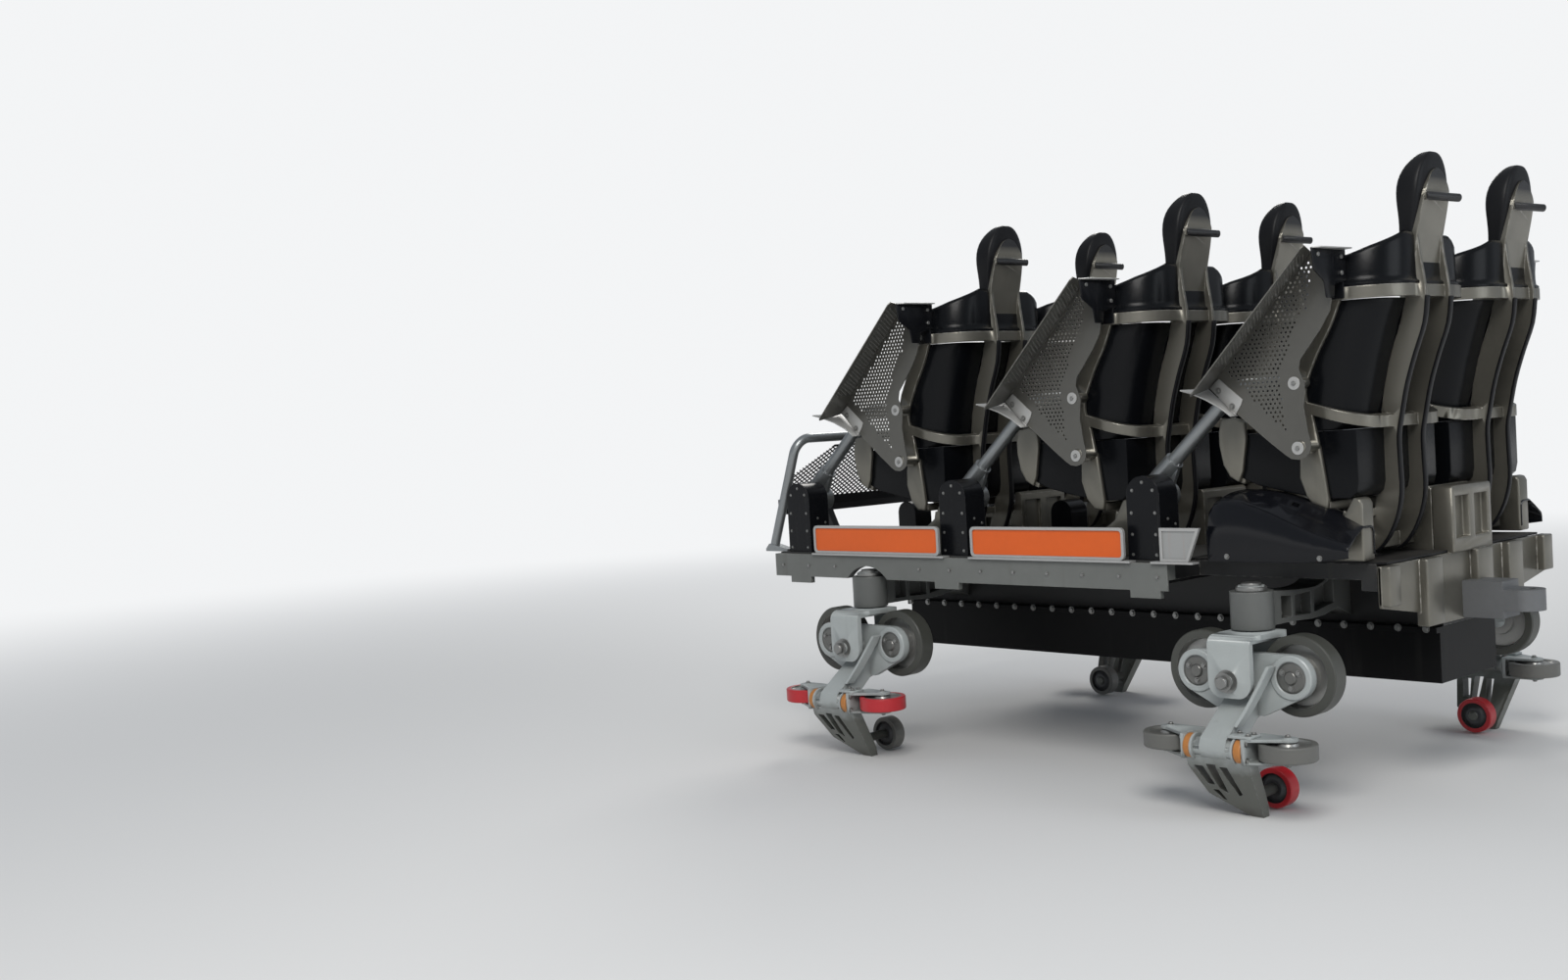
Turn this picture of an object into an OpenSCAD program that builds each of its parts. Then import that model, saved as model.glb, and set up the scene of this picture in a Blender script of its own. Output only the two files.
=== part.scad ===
// Three-row, six-seat roller coaster car with lap bars and four wheel bogies.
// Millimetres. +X is the direction of travel, +Y the car's left side, +Z up.
// z = 0 is the tips of the bogie carriers; the origin is the middle of the box below them.

/* [Layout] */
// Pitch of the seat rows along the car
row_pitch = 1000; // [980:5:1040]
// Centre of a seat from the car's centre plane
seat_y = 365; // [364:0.5:368]
// Kingpin from the middle of the wheelbase
kingpin_x = 1000; // [960:5:1040]
// Centre of a rail, and of its bogies, from the car's centre plane
rail_y = 825; // [820:1:835]
// Top of the floor plate
floor_z = 913; // [911:0.5:915]

/* [Wheels] */
// Road wheel, diameter over the tread
road_d = 300; // [270:2:306]
// Road wheel, width of the tread
road_w = 80; // [60:1:84]
// Road wheel axle from the kingpin, along the car
road_dx = 196; // [180:1:215]
// Road wheel axle, height
road_z = 509; // [500:1:514]
// Side wheel, diameter over the tread
side_d = 206; // [180:2:216]
// Side wheel, width of the tread
side_w = 58; // [50:1:64]
// Side wheel axle from the kingpin, along the car
side_dx = 243; // [215:1:270]
// Side wheel axle, outboard of the rail's centre
side_dy = 203; // [190:1:215]
// Side wheel, height of its middle
side_z = 270; // [262:1:276]
// Upstop wheel, diameter over the tread
up_d = 150; // [130:2:152]
// Upstop wheel, width of the tread
up_w = 60; // [50:1:66]
// Upstop wheel axle from the kingpin, along the car
up_x = -70; // [-76:1:-64]
// Upstop wheel axle, height
up_z = 82; // [80:1:86]
// Radial running clearance at every turning axle
axle_gap = 0.05; // [0.02:0.01:0.1]

/* [Kingpin] */
// Kingpin, diameter
kp_d = 70; // [55:1:85]
// Lower face of the kingpin's housing
kp_z0 = 670; // [668:1:680]
// Upper face of the kingpin's housing
kp_z1 = 810; // [800:1:812]

/* [Lap bar] */
// Pivot of the front row's lap bars, along the car
bar_x = 1490; // [1485:1:1495]
// Plane of a lap bar's arm, from the car's centre plane
bar_y = 640; // [638:0.5:642]
// Height of the pivot
bar_z = 1160; // [1155:1:1165]
// Lap bar tube, diameter
bar_d = 58; // [50:1:60]

/* [Hidden] */
// bore of the kingpin's housing
kp_bore = kp_d + 2 * axle_gap;
// end of the clevis on the cross tube, 8 clear of the side wheel
clevis_x = side_dx - side_d / 2 - 8;
// hairline between a tube and its bend
seam = 0.05;

// solid from an X-Z outline, y0 .. y0 + t
module xz(y0, t) { translate([0, y0 + t, 0]) rotate([90, 0, 0]) linear_extrude(height = t) children(); }

// solid from a Y-Z outline, x0 .. x0 + t
module yz(x0, t) { translate([x0, 0, 0]) rotate([90, 0, 90]) linear_extrude(height = t) children(); }

// solid from an X-Y outline, z0 .. z0 + t
module xy(z0, t) { translate([0, 0, z0]) linear_extrude(height = t) children(); }

module box(a, b) { translate(a) cube([b[0] - a[0], b[1] - a[1], b[2] - a[2]]); }

// rectangle a .. b with round corners
module rrect(a, b, r) {
    translate([a[0] + r, a[1]]) square([b[0] - a[0] - 2 * r, b[1] - a[1]]);
    translate([a[0], a[1] + r]) square([b[0] - a[0], b[1] - a[1] - 2 * r]);
    for (x = [a[0] + r, b[0] - r], y = [a[1] + r, b[1] - r]) translate([x, y]) circle(r = r, $fn = 32);
}

// round bar between two points
module rod(p, q, d) {
    v = q - p;
    translate(p) rotate([0, acos(v[2] / norm(v)), atan2(v[1], v[0])]) cylinder(h = norm(v), d = d, $fn =
        40);
}

function unit(v) = v / norm(v);
function turn(a, p, b) = acos(unit(p - a) * unit(b - p));
function setback(a, p, b, r) = r * tan(turn(a, p, b) / 2);

// quarter-ring at a corner of a bent tube
module elbow(a, p, b, r, d) {
    u = unit(p - a);
    v = unit(b - p);
    n = unit(v - (u * v) * u);
    z = cross(-n, u);
    translate(p - setback(a, p, b, r) * u + r * n)
        rotate([atan2(u[2], z[2]), atan2(n[2], norm([n[0], n[1]])), atan2(-n[1], -n[0])])
            rotate_extrude(angle = turn(a, p, b), $fn = 96) translate([r, 0]) circle(d = d, $fn = 40);
}

// tube d through points, bent to radius r at each inner point, a spigot inside every joint
module run(pts, d, r) {
    last = len(pts) - 1;
    for (i = [0 : last - 1]) {
        u = unit(pts[i + 1] - pts[i]);
        s0 = i == 0 ? 0 : setback(pts[i - 1], pts[i], pts[i + 1], r) + seam;
        s1 = i == last - 1 ? 0 : setback(pts[i], pts[i + 1], pts[i + 2], r) + seam;
        rod(pts[i] + s0 * u, pts[i + 1] - s1 * u, d);
        if (i > 0) rod(pts[i] + (s0 - 8) * u, pts[i] + (s0 + 8) * u, d - 6);
        if (i < last - 1) rod(pts[i + 1] - (s1 + 8) * u, pts[i + 1] - (s1 - 8) * u, d - 6);
    }
    for (i = [1 : last - 1]) elbow(pts[i - 1], pts[i], pts[i + 1], r, d);
}

// smooth open curve through 2-D points, n steps a span
function cr(a, b, c, d, t) = 0.5 * ((2 * b) + (c - a) * t + (2 * a - 5 * b + 4 * c - d) * t * t
    + (3 * b - a - 3 * c + d) * t * t * t);
function smooth(p, n = 5) = [for (i = [0 : len(p) - 2], j = [0 : n - 1])
    cr(p[max(i - 1, 0)], p[i], p[i + 1], p[min(i + 2, len(p) - 1)], j / n), p[len(p) - 1]];
function rev(p) = [for (i = [len(p) - 1 : -1 : 0]) p[i]];
function cat(a, b) = [for (x = a) x, for (x = b) x];

module both() { children(); mirror([0, 1, 0]) children(); }
module row(k) { translate([-row_pitch * (k - 1), 0, 0]) children(); }
module seats() { for (s = [-1, 1]) translate([0, s * seat_y, 0]) children(); }
module at_bogie(f, s) { translate([f * kingpin_x, s * rail_y, 0]) scale([1, s, 1]) children(); }

module beam_profile() {
    difference() {
        polygon([[-665, 800], [1597, 800], [1597, 907], [-665, 907]]);
        translate([972, 692]) circle(r = 167, $fn = 64);
    }
}

module chassis_frame() color([0.46, 0.47, 0.45]) {
    both() {
        xz(862, 8) beam_profile();
        box([-665, 790, 899], [1597, 870, 907]);
        intersection() {
            xz(835, 27) difference() {
                translate([972, 692]) circle(r = 175, $fn = 64);
                translate([972, 692]) circle(r = 167, $fn = 64);
            }
            box([700, 800, 800], [1300, 870, 900]);
        }
        // longerons and outriggers
        box([-1430, 150, 630], [1560, 200, 890]);
        for (x = [1500, 520, -480]) box([x - 30, 190, 800], [x + 30, 865, 899]);
        for (x = [1420, 480, -560]) box([x - 70, 846, 770], [x + 70, 870, 800]);
        box([-1400, 190, 800], [-1340, 640, 899]);
        box([-660, 600, 840], [-600, 865, 899]);
        box([-1400, 600, 840], [-600, 640, 899]);
    }
    for (x = [1500, 1000, 500, 0, -500, -1000, -1400]) box([x - 30, -160, 650], [x + 30, 160, 860]);
    box([-1430, -200, 622], [1560, 200, 634]);
    box([-1430, -200, 878], [1560, 200, 890]);
}

module floor_pan() color([0.24, 0.25, 0.25]) {
    box([-640, -838, 907], [1590, 838, 913]);
    box([-1440, -640, 899], [-640, 640, 907]);
}

module seat_columns() color([0.52, 0.52, 0.49]) for (k = [1 : 3]) row(k) difference() {
    xz(-165, 330) polygon([[615, k == 3 ? 907 : 913], [900, k == 3 ? 907 : 913], [880, 1044],
        [864, 1056], [664, 1056], [646, 1150], [625, 1150], [615, 1140]]);
    for (s = [-1, 1]) translate([0, s * 80, 0]) box([600, -58, 950], [628, 58, 1110]);
    for (s = [-1, 1]) box([690, s * 165 - 20, 950], [840, s * 165 + 20, 1030]);
}

module kingpin_arms() both() difference() {
    union() {
        translate([0, rail_y, kp_z0]) cylinder(h = kp_z1 - kp_z0, d = 160, $fn = 64);
        intersection() {
            yz(-55, 110) polygon(cat(smooth([[200, 868], [300, 842], [430, 795], [560, 790], [800, 806]]),
                [[800, 676], [640, 676], [500, 668], [400, 672], [300, 690], [200, 650]]));
            box([-55, 200, 600], [55, 800, 880]);
        }
    }
    translate([0, rail_y, 600]) cylinder(h = 300, d = kp_bore, $fn = 64);
    for (s = [-1, 1]) scale([s, 1, 1]) {
        yz(12, 60) polygon([[640, 694], [715, 694], [715, 780], [640, 774]]);
        yz(12, 60) polygon([[500, 690], [618, 694], [618, 772], [500, 775]]);
        yz(12, 60) polygon([[330, 712], [478, 692], [478, 778], [400, 790], [330, 816]]);
    }
}

module sill_frame(x0, x1) {
    xz(862, 14) difference() {
        rrect([x0, 915], [x1, 1046], 22);
        rrect([x0 + 12, 927], [x1 - 12, 1034], 14);
    }
    box([x0 - 30, 840, 907], [x1 + 10, 884, 915]);
}

module sill_frames() color([0.62, 0.63, 0.62]) both() {
    sill_frame(512, 1310);
    sill_frame(-472, 326);
    xz(862, 14) difference() {
        polygon([[-640, 1046], [-820, 1046], [-765, 915], [-640, 915]]);
        polygon([[-652, 1034], [-801, 1034], [-757, 927], [-652, 927]]);
    }
    box([-790, 840, 907], [-600, 884, 915]);
}

module sill_panels() color([0.86, 0.32, 0.05]) both() {
    for (x = [512, -472]) xz(866, 4) rrect([x + 12, 927], [x + 786, 1034], 14);
    xz(866, 4) polygon([[-652, 1034], [-801, 1034], [-757, 927], [-652, 927]]);
}

module housing_profile() {
    translate([1390, 913]) square([154, 256]);
    translate([1467, 1169]) circle(r = 77, $fn = 64);
}

module lap_housings() color([0.06, 0.065, 0.07]) for (k = [1 : 3]) row(k) both() difference() {
    xz(692, 128) housing_profile();
    translate([bar_x, 600, bar_z]) rotate([-90, 0, 0]) cylinder(h = 180, d = 40 + 2 * axle_gap, $fn = 48);
}

module centre_housings() color([0.10, 0.105, 0.11]) for (k = [1 : 3]) row(k) {
    xz(-60, 120) union() {
        translate([1405, 913]) square([120, 130]);
        translate([1465, 1043]) circle(r = 60, $fn = 48);
    }
}

module front_guard() color([0.50, 0.52, 0.53]) {
    d = 46;
    both() {
        run([[1680, 800, 925], [1471, 800, 1463], [1471, 0, 1463]], d, 80);
        // foot on the end of the floor
        xz(775, 50) polygon([[1560, 913], [1715, 913], [1715, 925], [1690, 950], [1655, 945],
            [1560, 925]]);
    }
}

module guard_mesh() color([0.12, 0.12, 0.13]) {
    // leaning panel on the front of the hoop
    multmatrix([[1, 0, -0.3885, 0], [0, 1, 0, 0], [0, 0, 1, 0], [0, 0, 0, 1]])
        yz(2064.5, 6) polygon([[-790, 1125], [790, 1125], [790, 1262], [500, 1423], [-500, 1423],
            [-790, 1262]]);
    box([1630, -776.7, 1090], [1658, 776.7, 1165]);
    both() xz(440, 40) polygon([[1530, 913], [1600, 913], [1658, 1090], [1658, 1120], [1632, 1120]]);
}

module rear_fender() color([0.05, 0.05, 0.055]) {
    both() {
        // sloping top, outer skirt
        xz(600, 220) polygon([[-650, 1178], [-828, 1168], [-1094, 1103], [-1433, 971], [-1433, 960],
            [-1092, 1091], [-826, 1156], [-650, 1166]]);
        xz(812, 8) polygon([[-650, 1178], [-828, 1168], [-1094, 1103], [-1433, 971], [-1433, 930],
            [-1180, 930], [-820, 960], [-650, 960]]);
        xz(600, 8) polygon([[-650, 1178], [-828, 1168], [-1094, 1103], [-1433, 971], [-1433, 907],
            [-650, 907]]);
    }
}

module magnet_carrier() color([0.045, 0.045, 0.05]) {
    box([-1430, -235, 407], [1300, 235, 600]);
    box([-1430, -262, 600], [1300, 262, 622]);
}

module couplers() color([0.32, 0.34, 0.36]) {
    // rear drawbar with its eye
    difference() {
        union() {
            box([-1600, -70, 640], [-1430, 70, 780]);
            xy(670, 80) { translate([-1655, 0]) circle(r = 70, $fn = 64); translate([-1655, -70])
                square([60, 140]); }
        }
        translate([-1665, 0, 600]) cylinder(h = 200, r = 26, $fn = 48);
    }
    // front tow plate
    difference() {
        box([1560, -90, 680], [1725, 90, 740]);
        translate([1680, 0, 600]) cylinder(h = 200, r = 21, $fn = 48);
    }
    box([1560, -200, 622], [1580, 200, 890]);
}

rib_n = 3;
rib_rear = [[480, 2085], [474, 2010], [464, 1940], [458, 1864], [472, 1761], [512, 1653], [548, 1543],
    [573, 1431],
    [587, 1356], [587, 1264], [586, 1149], [604, 1063], [634, 996], [668, 950], [700, 925]];
rib_front = [[760, 945], [728, 985], [696, 1063], [676, 1149], [668, 1236], [657, 1343], [632, 1525],
    [598, 1659],
    [560, 1761], [540, 1840], [528, 1920], [512, 2010], [505, 2085]];

// U-shaped plan of a hoop: open to the front, from y0 to y1
module u_plan(x0, x1, y0, y1, r, t) difference() {
    rrect([x0, y0], [x1 + r, y1], r);
    rrect([x0 + t, y0 + t], [x1 + 2 * r, y1 - t], r - t);
    translate([x1, y0 - 1]) square([3 * r, y1 - y0 + 2]);
}

module seat_frame(k) color([0.55, 0.54, 0.50]) row(k) {
    seats() {
        for (s = [-1, 1]) xz(s * 93 - 7, 14) polygon(cat(smooth(rib_rear, rib_n), smooth(rib_front,
            rib_n)));
        // back plate
        intersection() {
            xz(-110, 220) polygon([[505, 1858], [497, 1918], [480, 2080], [443, 2239], [440, 2330],
                [470, 2330], [474, 2242], [510, 2084], [530, 1918], [536, 1858]]);
            yz(400, 200) polygon(cat(cat(rev(smooth([[0, 2318], [35, 2306], [62, 2280], [86, 2245],
                [98, 2190], [102, 2080], [102, 1858]])), []),
                smooth([[0, 2318], [-35, 2306], [-62, 2280], [-86, 2245], [-98, 2190], [-102, 2080],
                    [-102, 1858]])));
        }
        rod([450, 91, 2214], [397, -62, 2206], 30);
    }
    both() translate([0, seat_y, 0]) {
        // side member, upper hoop to lower hoop, and the plate down to the pan
        for (s = [-1, 1]) xz(s * 329 - 7, 14) polygon(cat(smooth([[640, 1902], [665, 1854], [705, 1766],
            [757, 1678], [800, 1589], [815, 1521], [790, 1440]]),
            [[770, 1340], [800, 1310], [850, 1310], [872, 1350], [885, 1440], [880, 1540], [850, 1640],
                [800, 1740], [765, 1830], [765, 1902]]));
    }
    both() {
        // upper and lower hoop; those of the two seats meet in the middle
        xy(1858, 44) u_plan(476, 760, 0, 701, 180, 30);
        multmatrix([[1, 0, 0, 0], [0, 1, 0, 0], [0.3, 0, 1, -180],
            [0, 0, 0, 1]]) xy(1392, 42) u_plan(598, 850, 0, 701, 150, 30);
        // beam out from the column, under the ribs
        box([690, 165, 938], [770, 590, 990]);
        // lug for the arm shield on the upper hoop, and the spacers of its lower bolts
        translate([0, seat_y, 0]) {
            box([646, 330, 1858], [720, 340, 1902]);
            translate([793, 322, 1339]) rotate([-90, 0, 0]) cylinder(h = 105, d = 44, $fn = 40);
            translate([813, 336, 1570]) rotate([-90, 0, 0]) cylinder(h = 91, d = 40, $fn = 40);
        }
    }
    // cradle bands under the pans
    seats() {
        difference() {
            union() {
                xz(-318, 636) polygon(smooth([[1131, 1425], [1200, 1390], [1205, 1300], [1150, 1225],
                    [1060, 1190], [960, 1160], [960, 1130], [1075, 1160], [1180, 1210], [1235, 1300],
                    [1225, 1400], [1185, 1440], [1131, 1425]], 3));
                xz(-318, 636) polygon([[780, 1352], [812, 1352], [866, 1280], [860, 1200], [800, 1120],
                    [746, 1085], [720, 1062], [684, 1062], [684, 1090], [740, 1130], [760, 1200],
                    [765, 1330]]);
            }
            xz(-304, 608) polygon([[600, 1500], [600, 1091], [700, 1091], [900, 1126], [1100, 1201],
                [1190, 1291], [1190, 1500]]);
        }
        // keel under the pan, from the rear band to the front one
        xz(-22, 44) polygon([[690, 1062], [900, 1095], [1100, 1172], [1180, 1225], [1160, 1240],
            [1090, 1196], [900, 1122], [690, 1088]]);
    }
}

module pad_outline() {
    polygon([[-85, 2120], [-112, 2200], [-112, 2245], [-50, 2352], [-30, 2370], [30, 2370], [50, 2352],
        [112, 2245], [112, 2200], [85, 2120]]);
}

module seat_shell(k) color([0.05, 0.055, 0.06]) row(k) {
    seats() {
        // headrest
        intersection() {
            yz(440, 160) pad_outline();
            xz(-130, 260) polygon([[480, 2372], [474, 2245], [510, 2086], [520, 2030], [590, 2060],
                [585, 2120], [560, 2180], [556, 2260], [530, 2330], [500, 2372]]);
        }
    }
    both() translate([0, seat_y, 0]) {
        // collar round the shoulders
        intersection() {
            xy(1902, 260) u_plan(490, 770, -350, 324, 170, 26);
            yz(300, 600) polygon([[-350, 1900], [-350, 2035], [-110, 2125], [-90, 2160], [90, 2160],
                [110, 2125], [324, 2035], [324, 1900]]);
            difference() { box([300, -400, 1900], [900, 400, 2200]); box([300, -106, 1900],
                [540, 106, 2200]); }
        }
        // seat back
        multmatrix([[1, 0, -0.264, 0], [0, 1, 0, 0], [0, 0, 1, 0], [0, 0, 0, 1]])
            xy(1440, 417.7) u_plan(1041, 1194, -318, 300, 150, 24);
    }
    seats() {
        // rubber edge of the ribs
        for (s = [-1, 1]) xz(s * 93 - 12, 24) polygon(cat([for (i = [3 * rib_n : 12 * rib_n])
            smooth(rib_rear, rib_n)[i] - [9, 0]],
            [for (i = [12 * rib_n : -1 : 3 * rib_n]) smooth(rib_rear, rib_n)[i]]));
    }
}

module seat_pan(k) color([0.04, 0.045, 0.05]) row(k) seats() {
    xz(-303, 606) polygon([[668, 1392], [684, 1250], [700, 1120], [712, 1095], [900, 1127],
        [1098, 1202], [1188, 1292], [1188, 1370], [1150, 1385], [900, 1340], [790, 1340], [750, 1392]]);
}

module arm_shield() {
    // main panel
    xz(792, 5) polygon(cat(smooth([[643, 2036], [655, 1880], [690, 1750], [745, 1650], [790, 1590],
        [770, 1560], [752, 1500], [748, 1400], [757, 1330], [780, 1300], [815, 1305]]),
        [[1046, 1470], [1163, 1573]]));
    // outward flange on the front edge
    a = [1163, 1573]; b = [643, 2036];
    u = (b - a) / norm(b - a); n = [-u[1], u[0]];
    xz(792, 160) polygon([a, b, b - 5 * n, a - 5 * n]);
}

module arm_shields(k) color([0.50, 0.50, 0.48]) row(k) both() {
    arm_shield();
    // corner bracket
    difference() {
        xz(797, 160) polygon([[1163, 1573], [1046, 1470], [1048, 1464], [1168, 1566]]);
        rotate([0, 0, 0]) translate([0, 0, 0]) box([0, 990, 0], [1, 991, 1]);
    }
    // top closing plate
    box([637, 705, 1862], [643, 930, 2036]);
    box([610, 711, 2030], [643, 900, 2036]);
    // tab on the hoop's lug
    box([643, 705, 1862], [716, 711, 1990]);
}

module lap_bar_left() {
    p = [bar_x, bar_y, bar_z];
    // pivot hub and pin
    translate([bar_x, 604, bar_z]) rotate([-90, 0, 0]) cylinder(h = 80, d = 110, $fn = 64);
    translate([bar_x, 600, bar_z]) rotate([-90, 0, 0]) cylinder(h = 175, d = 40, $fn = 48);
    rod([1554, bar_y, 1185], [1430, bar_y, 1298], 78);
    xz(bar_y - 10, 20) polygon([[1540, 1150], [1478, 1104], [1400, 1290], [1440, 1310], [1550, 1200]]);
    run([[1500, bar_y, 1234], [1130, bar_y, 1571], [1000, bar_y, 1571], [1000, 200, 1571]], bar_d, 80);
    translate([1000, 190, 1565]) rotate([-90, 0, 0]) cylinder(h = 330, d = 110, $fn = 48);
}

module lap_bar(k, s) color([0.42, 0.44, 0.45]) row(k) scale([1, s, 1]) lap_bar_left();

module leg_outline() { rrect([-96, 436], [80, 700], 55); }

module bogie_frame() {
    // kingpin and its nut
    translate([0, 0, 640]) cylinder(h = 190, d = kp_d, $fn = 64);
    translate([0, 0, 814]) cylinder(h = 16, d = 110, $fn = 6);
    translate([0, 0, 636]) cylinder(h = 30, d = 130, $fn = 64);
    // yoke
    intersection() {
        yz(-96, 176) difference() {
            rrect([-95, 300], [190, 664], 42);
            translate([-70, 290]) square([235, 346]);
        }
        union() {
            xz(100, 100) leg_outline();
            box([-96, -70, 600], [80, 110, 700]);
            xz(-96, 30) rrect([-70, 436], [54, 700], 40);
        }
    }
    // pivot pin
    translate([0, -105, 498]) rotate([-90, 0, 0]) cylinder(h = 320, d = 50, $fn = 48);
    // rocker beam with hub bosses
    xz(50, 32) union() {
        for (x = [-road_dx, road_dx]) translate([x, road_z]) circle(d = 165, $fn = 64);
        polygon([[-road_dx, road_z + 82.5], [road_dx, road_z + 82.5], [road_dx + 40, road_z - 72],
            [80, 360], [-80, 360], [-road_dx - 40, road_z - 72]]);
    }
    for (x = [-road_dx, road_dx]) translate([x, -38, road_z]) rotate([-90, 0, 0]) cylinder(h = 92, d =
        60, $fn = 48);
    // neck down and out to the cross tube
    yz(-54, 108) polygon([[50, 450], [92, 450], [300, 305], [312, 268], [300, 235], [262, 235],
        [150, 300], [88, 350], [50, 362]]);
    translate([-clevis_x, 275, 268]) rotate([0, 90, 0]) cylinder(h = 2 * clevis_x, d = 70, $fn = 48);
    // clevises of the side wheels
    for (s = [-1, 1]) scale([s, 1, 1]) {
        box([clevis_x - 14, 165, 224], [clevis_x, 310, 316]);
        for (z = [side_z + side_w / 2 + 7, side_z - side_w / 2 - 17]) xy(z, 10) {
            polygon([[clevis_x - 14, 165], [side_dx, side_dy - 36], [side_dx, side_dy + 36],
                [clevis_x - 14, 310]]);
            translate([side_dx, side_dy]) circle(r = 36, $fn = 48);
        }
        translate([side_dx, side_dy, 220]) cylinder(h = 100, d = 30, $fn = 40);
    }
    // carrier fingers
    intersection() {
        xz(60, 260) difference() {
            polygon([[-140, 255], [clevis_x - 14, 255], [clevis_x - 14, 190], [88, 80], [-27, 12],
                [-50, 0], [-100, 0], [-141, 205]]);
            polygon([[0, 210], [40, 210], [30, 110], [0, 90]]);
        }
        yz(-150, 280) polygon([[258, 240], [300, 240], [290, 200], [150, 0], [112, 0], [125, 40]]);
    }
    translate([up_x, -38, up_z]) rotate([-90, 0, 0]) cylinder(h = 210, d = 40, $fn = 40);
}

module bogie(f, s) color([0.66, 0.69, 0.70]) at_bogie(f, s) bogie_frame();

module road_wheel(f, s, e) color([0.62, 0.62, 0.60]) at_bogie(f, s) translate([e * road_dx, 0, road_z])
    rotate([-90, 0, 0])
    rotate_extrude($fn = 96) polygon([[30 + axle_gap, -34], [58, -34], [62, -14],
        [road_d / 2 - 38, -14], [road_d / 2 - 32, -road_w / 2], [road_d / 2 - 4, -road_w / 2],
        [road_d / 2, -road_w / 2 + 6], [road_d / 2, road_w / 2 - 6], [road_d / 2 - 4, road_w / 2],
        [road_d / 2 - 32, road_w / 2], [road_d / 2 - 38, 6], [70, 6], [66, 38], [30 + axle_gap, 38]]);

module side_wheel(f, s, e) color([0.45, 0.10, 0.09]) at_bogie(f, s) translate([e * side_dx, side_dy,
    side_z])
    rotate_extrude($fn = 80) polygon([[15 + axle_gap, -31], [34, -31], [38, -22],
        [side_d / 2 - 25, -22], [side_d / 2 - 21, -side_w / 2], [side_d / 2 - 3, -side_w / 2],
        [side_d / 2, -side_w / 2 + 4], [side_d / 2, side_w / 2 - 4], [side_d / 2 - 3, side_w / 2],
        [side_d / 2 - 21, side_w / 2], [side_d / 2 - 25, 22], [38, 22], [34, 31], [15 + axle_gap, 31]]);

module upstop_wheel(f, s) color([0.62, 0.07, 0.07]) at_bogie(f, s) translate([up_x, 0, up_z])
    rotate([-90, 0, 0])
    rotate_extrude($fn = 72) polygon([[20 + axle_gap, -up_w / 2], [34, -up_w / 2], [up_d / 2 - 23, -18],
        [up_d / 2 - 19, -up_w / 2], [up_d / 2 - 3, -up_w / 2], [up_d / 2, -up_w / 2 + 4],
        [up_d / 2, up_w / 2 - 4], [up_d / 2 - 3, up_w / 2], [up_d / 2 - 19, up_w / 2],
        [up_d / 2 - 23, 18], [34, up_w / 2], [20 + axle_gap, up_w / 2]]);

chassis_frame();
floor_pan();
seat_columns();
color([0.48, 0.50, 0.49]) translate([kingpin_x, 0, 0])  // kingpin_arms_front
    kingpin_arms();
color([0.48, 0.50, 0.49]) translate([-kingpin_x, 0, 0])  // kingpin_arms_rear
    kingpin_arms();
sill_frames();
sill_panels();
lap_housings();
centre_housings();
front_guard();
guard_mesh();
rear_fender();
magnet_carrier();
couplers();
seat_frame(1);  // seat_frame_1
seat_frame(2);  // seat_frame_2
seat_frame(3);  // seat_frame_3
seat_shell(1);  // seat_shell_1
seat_shell(2);  // seat_shell_2
seat_shell(3);  // seat_shell_3
seat_pan(1);  // seat_pan_1
seat_pan(2);  // seat_pan_2
seat_pan(3);  // seat_pan_3
arm_shields(1);  // arm_shields_1
arm_shields(2);  // arm_shields_2
arm_shields(3);  // arm_shields_3
lap_bar(1, 1);  // lap_bar_1l
lap_bar(1, -1);  // lap_bar_1r
lap_bar(2, 1);  // lap_bar_2l
lap_bar(2, -1);  // lap_bar_2r
lap_bar(3, 1);  // lap_bar_3l
lap_bar(3, -1);  // lap_bar_3r
bogie(1, 1);  // bogie_fl
bogie(1, -1);  // bogie_fr
bogie(-1, 1);  // bogie_rl
bogie(-1, -1);  // bogie_rr
road_wheel(1, 1, 1);  // road_wheel_fl_a
road_wheel(1, 1, -1);  // road_wheel_fl_b
road_wheel(1, -1, 1);  // road_wheel_fr_a
road_wheel(1, -1, -1);  // road_wheel_fr_b
road_wheel(-1, 1, 1);  // road_wheel_rl_a
road_wheel(-1, 1, -1);  // road_wheel_rl_b
road_wheel(-1, -1, 1);  // road_wheel_rr_a
road_wheel(-1, -1, -1);  // road_wheel_rr_b
side_wheel(1, 1, 1);  // side_wheel_fl_a
side_wheel(1, 1, -1);  // side_wheel_fl_b
side_wheel(1, -1, 1);  // side_wheel_fr_a
side_wheel(1, -1, -1);  // side_wheel_fr_b
side_wheel(-1, 1, 1);  // side_wheel_rl_a
side_wheel(-1, 1, -1);  // side_wheel_rl_b
side_wheel(-1, -1, 1);  // side_wheel_rr_a
side_wheel(-1, -1, -1);  // side_wheel_rr_b
upstop_wheel(1, 1);  // upstop_wheel_fl
upstop_wheel(1, -1);  // upstop_wheel_fr
upstop_wheel(-1, 1);  // upstop_wheel_rl
upstop_wheel(-1, -1);  // upstop_wheel_rr
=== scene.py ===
import math
import bpy
from mathutils import Matrix, Vector


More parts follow.
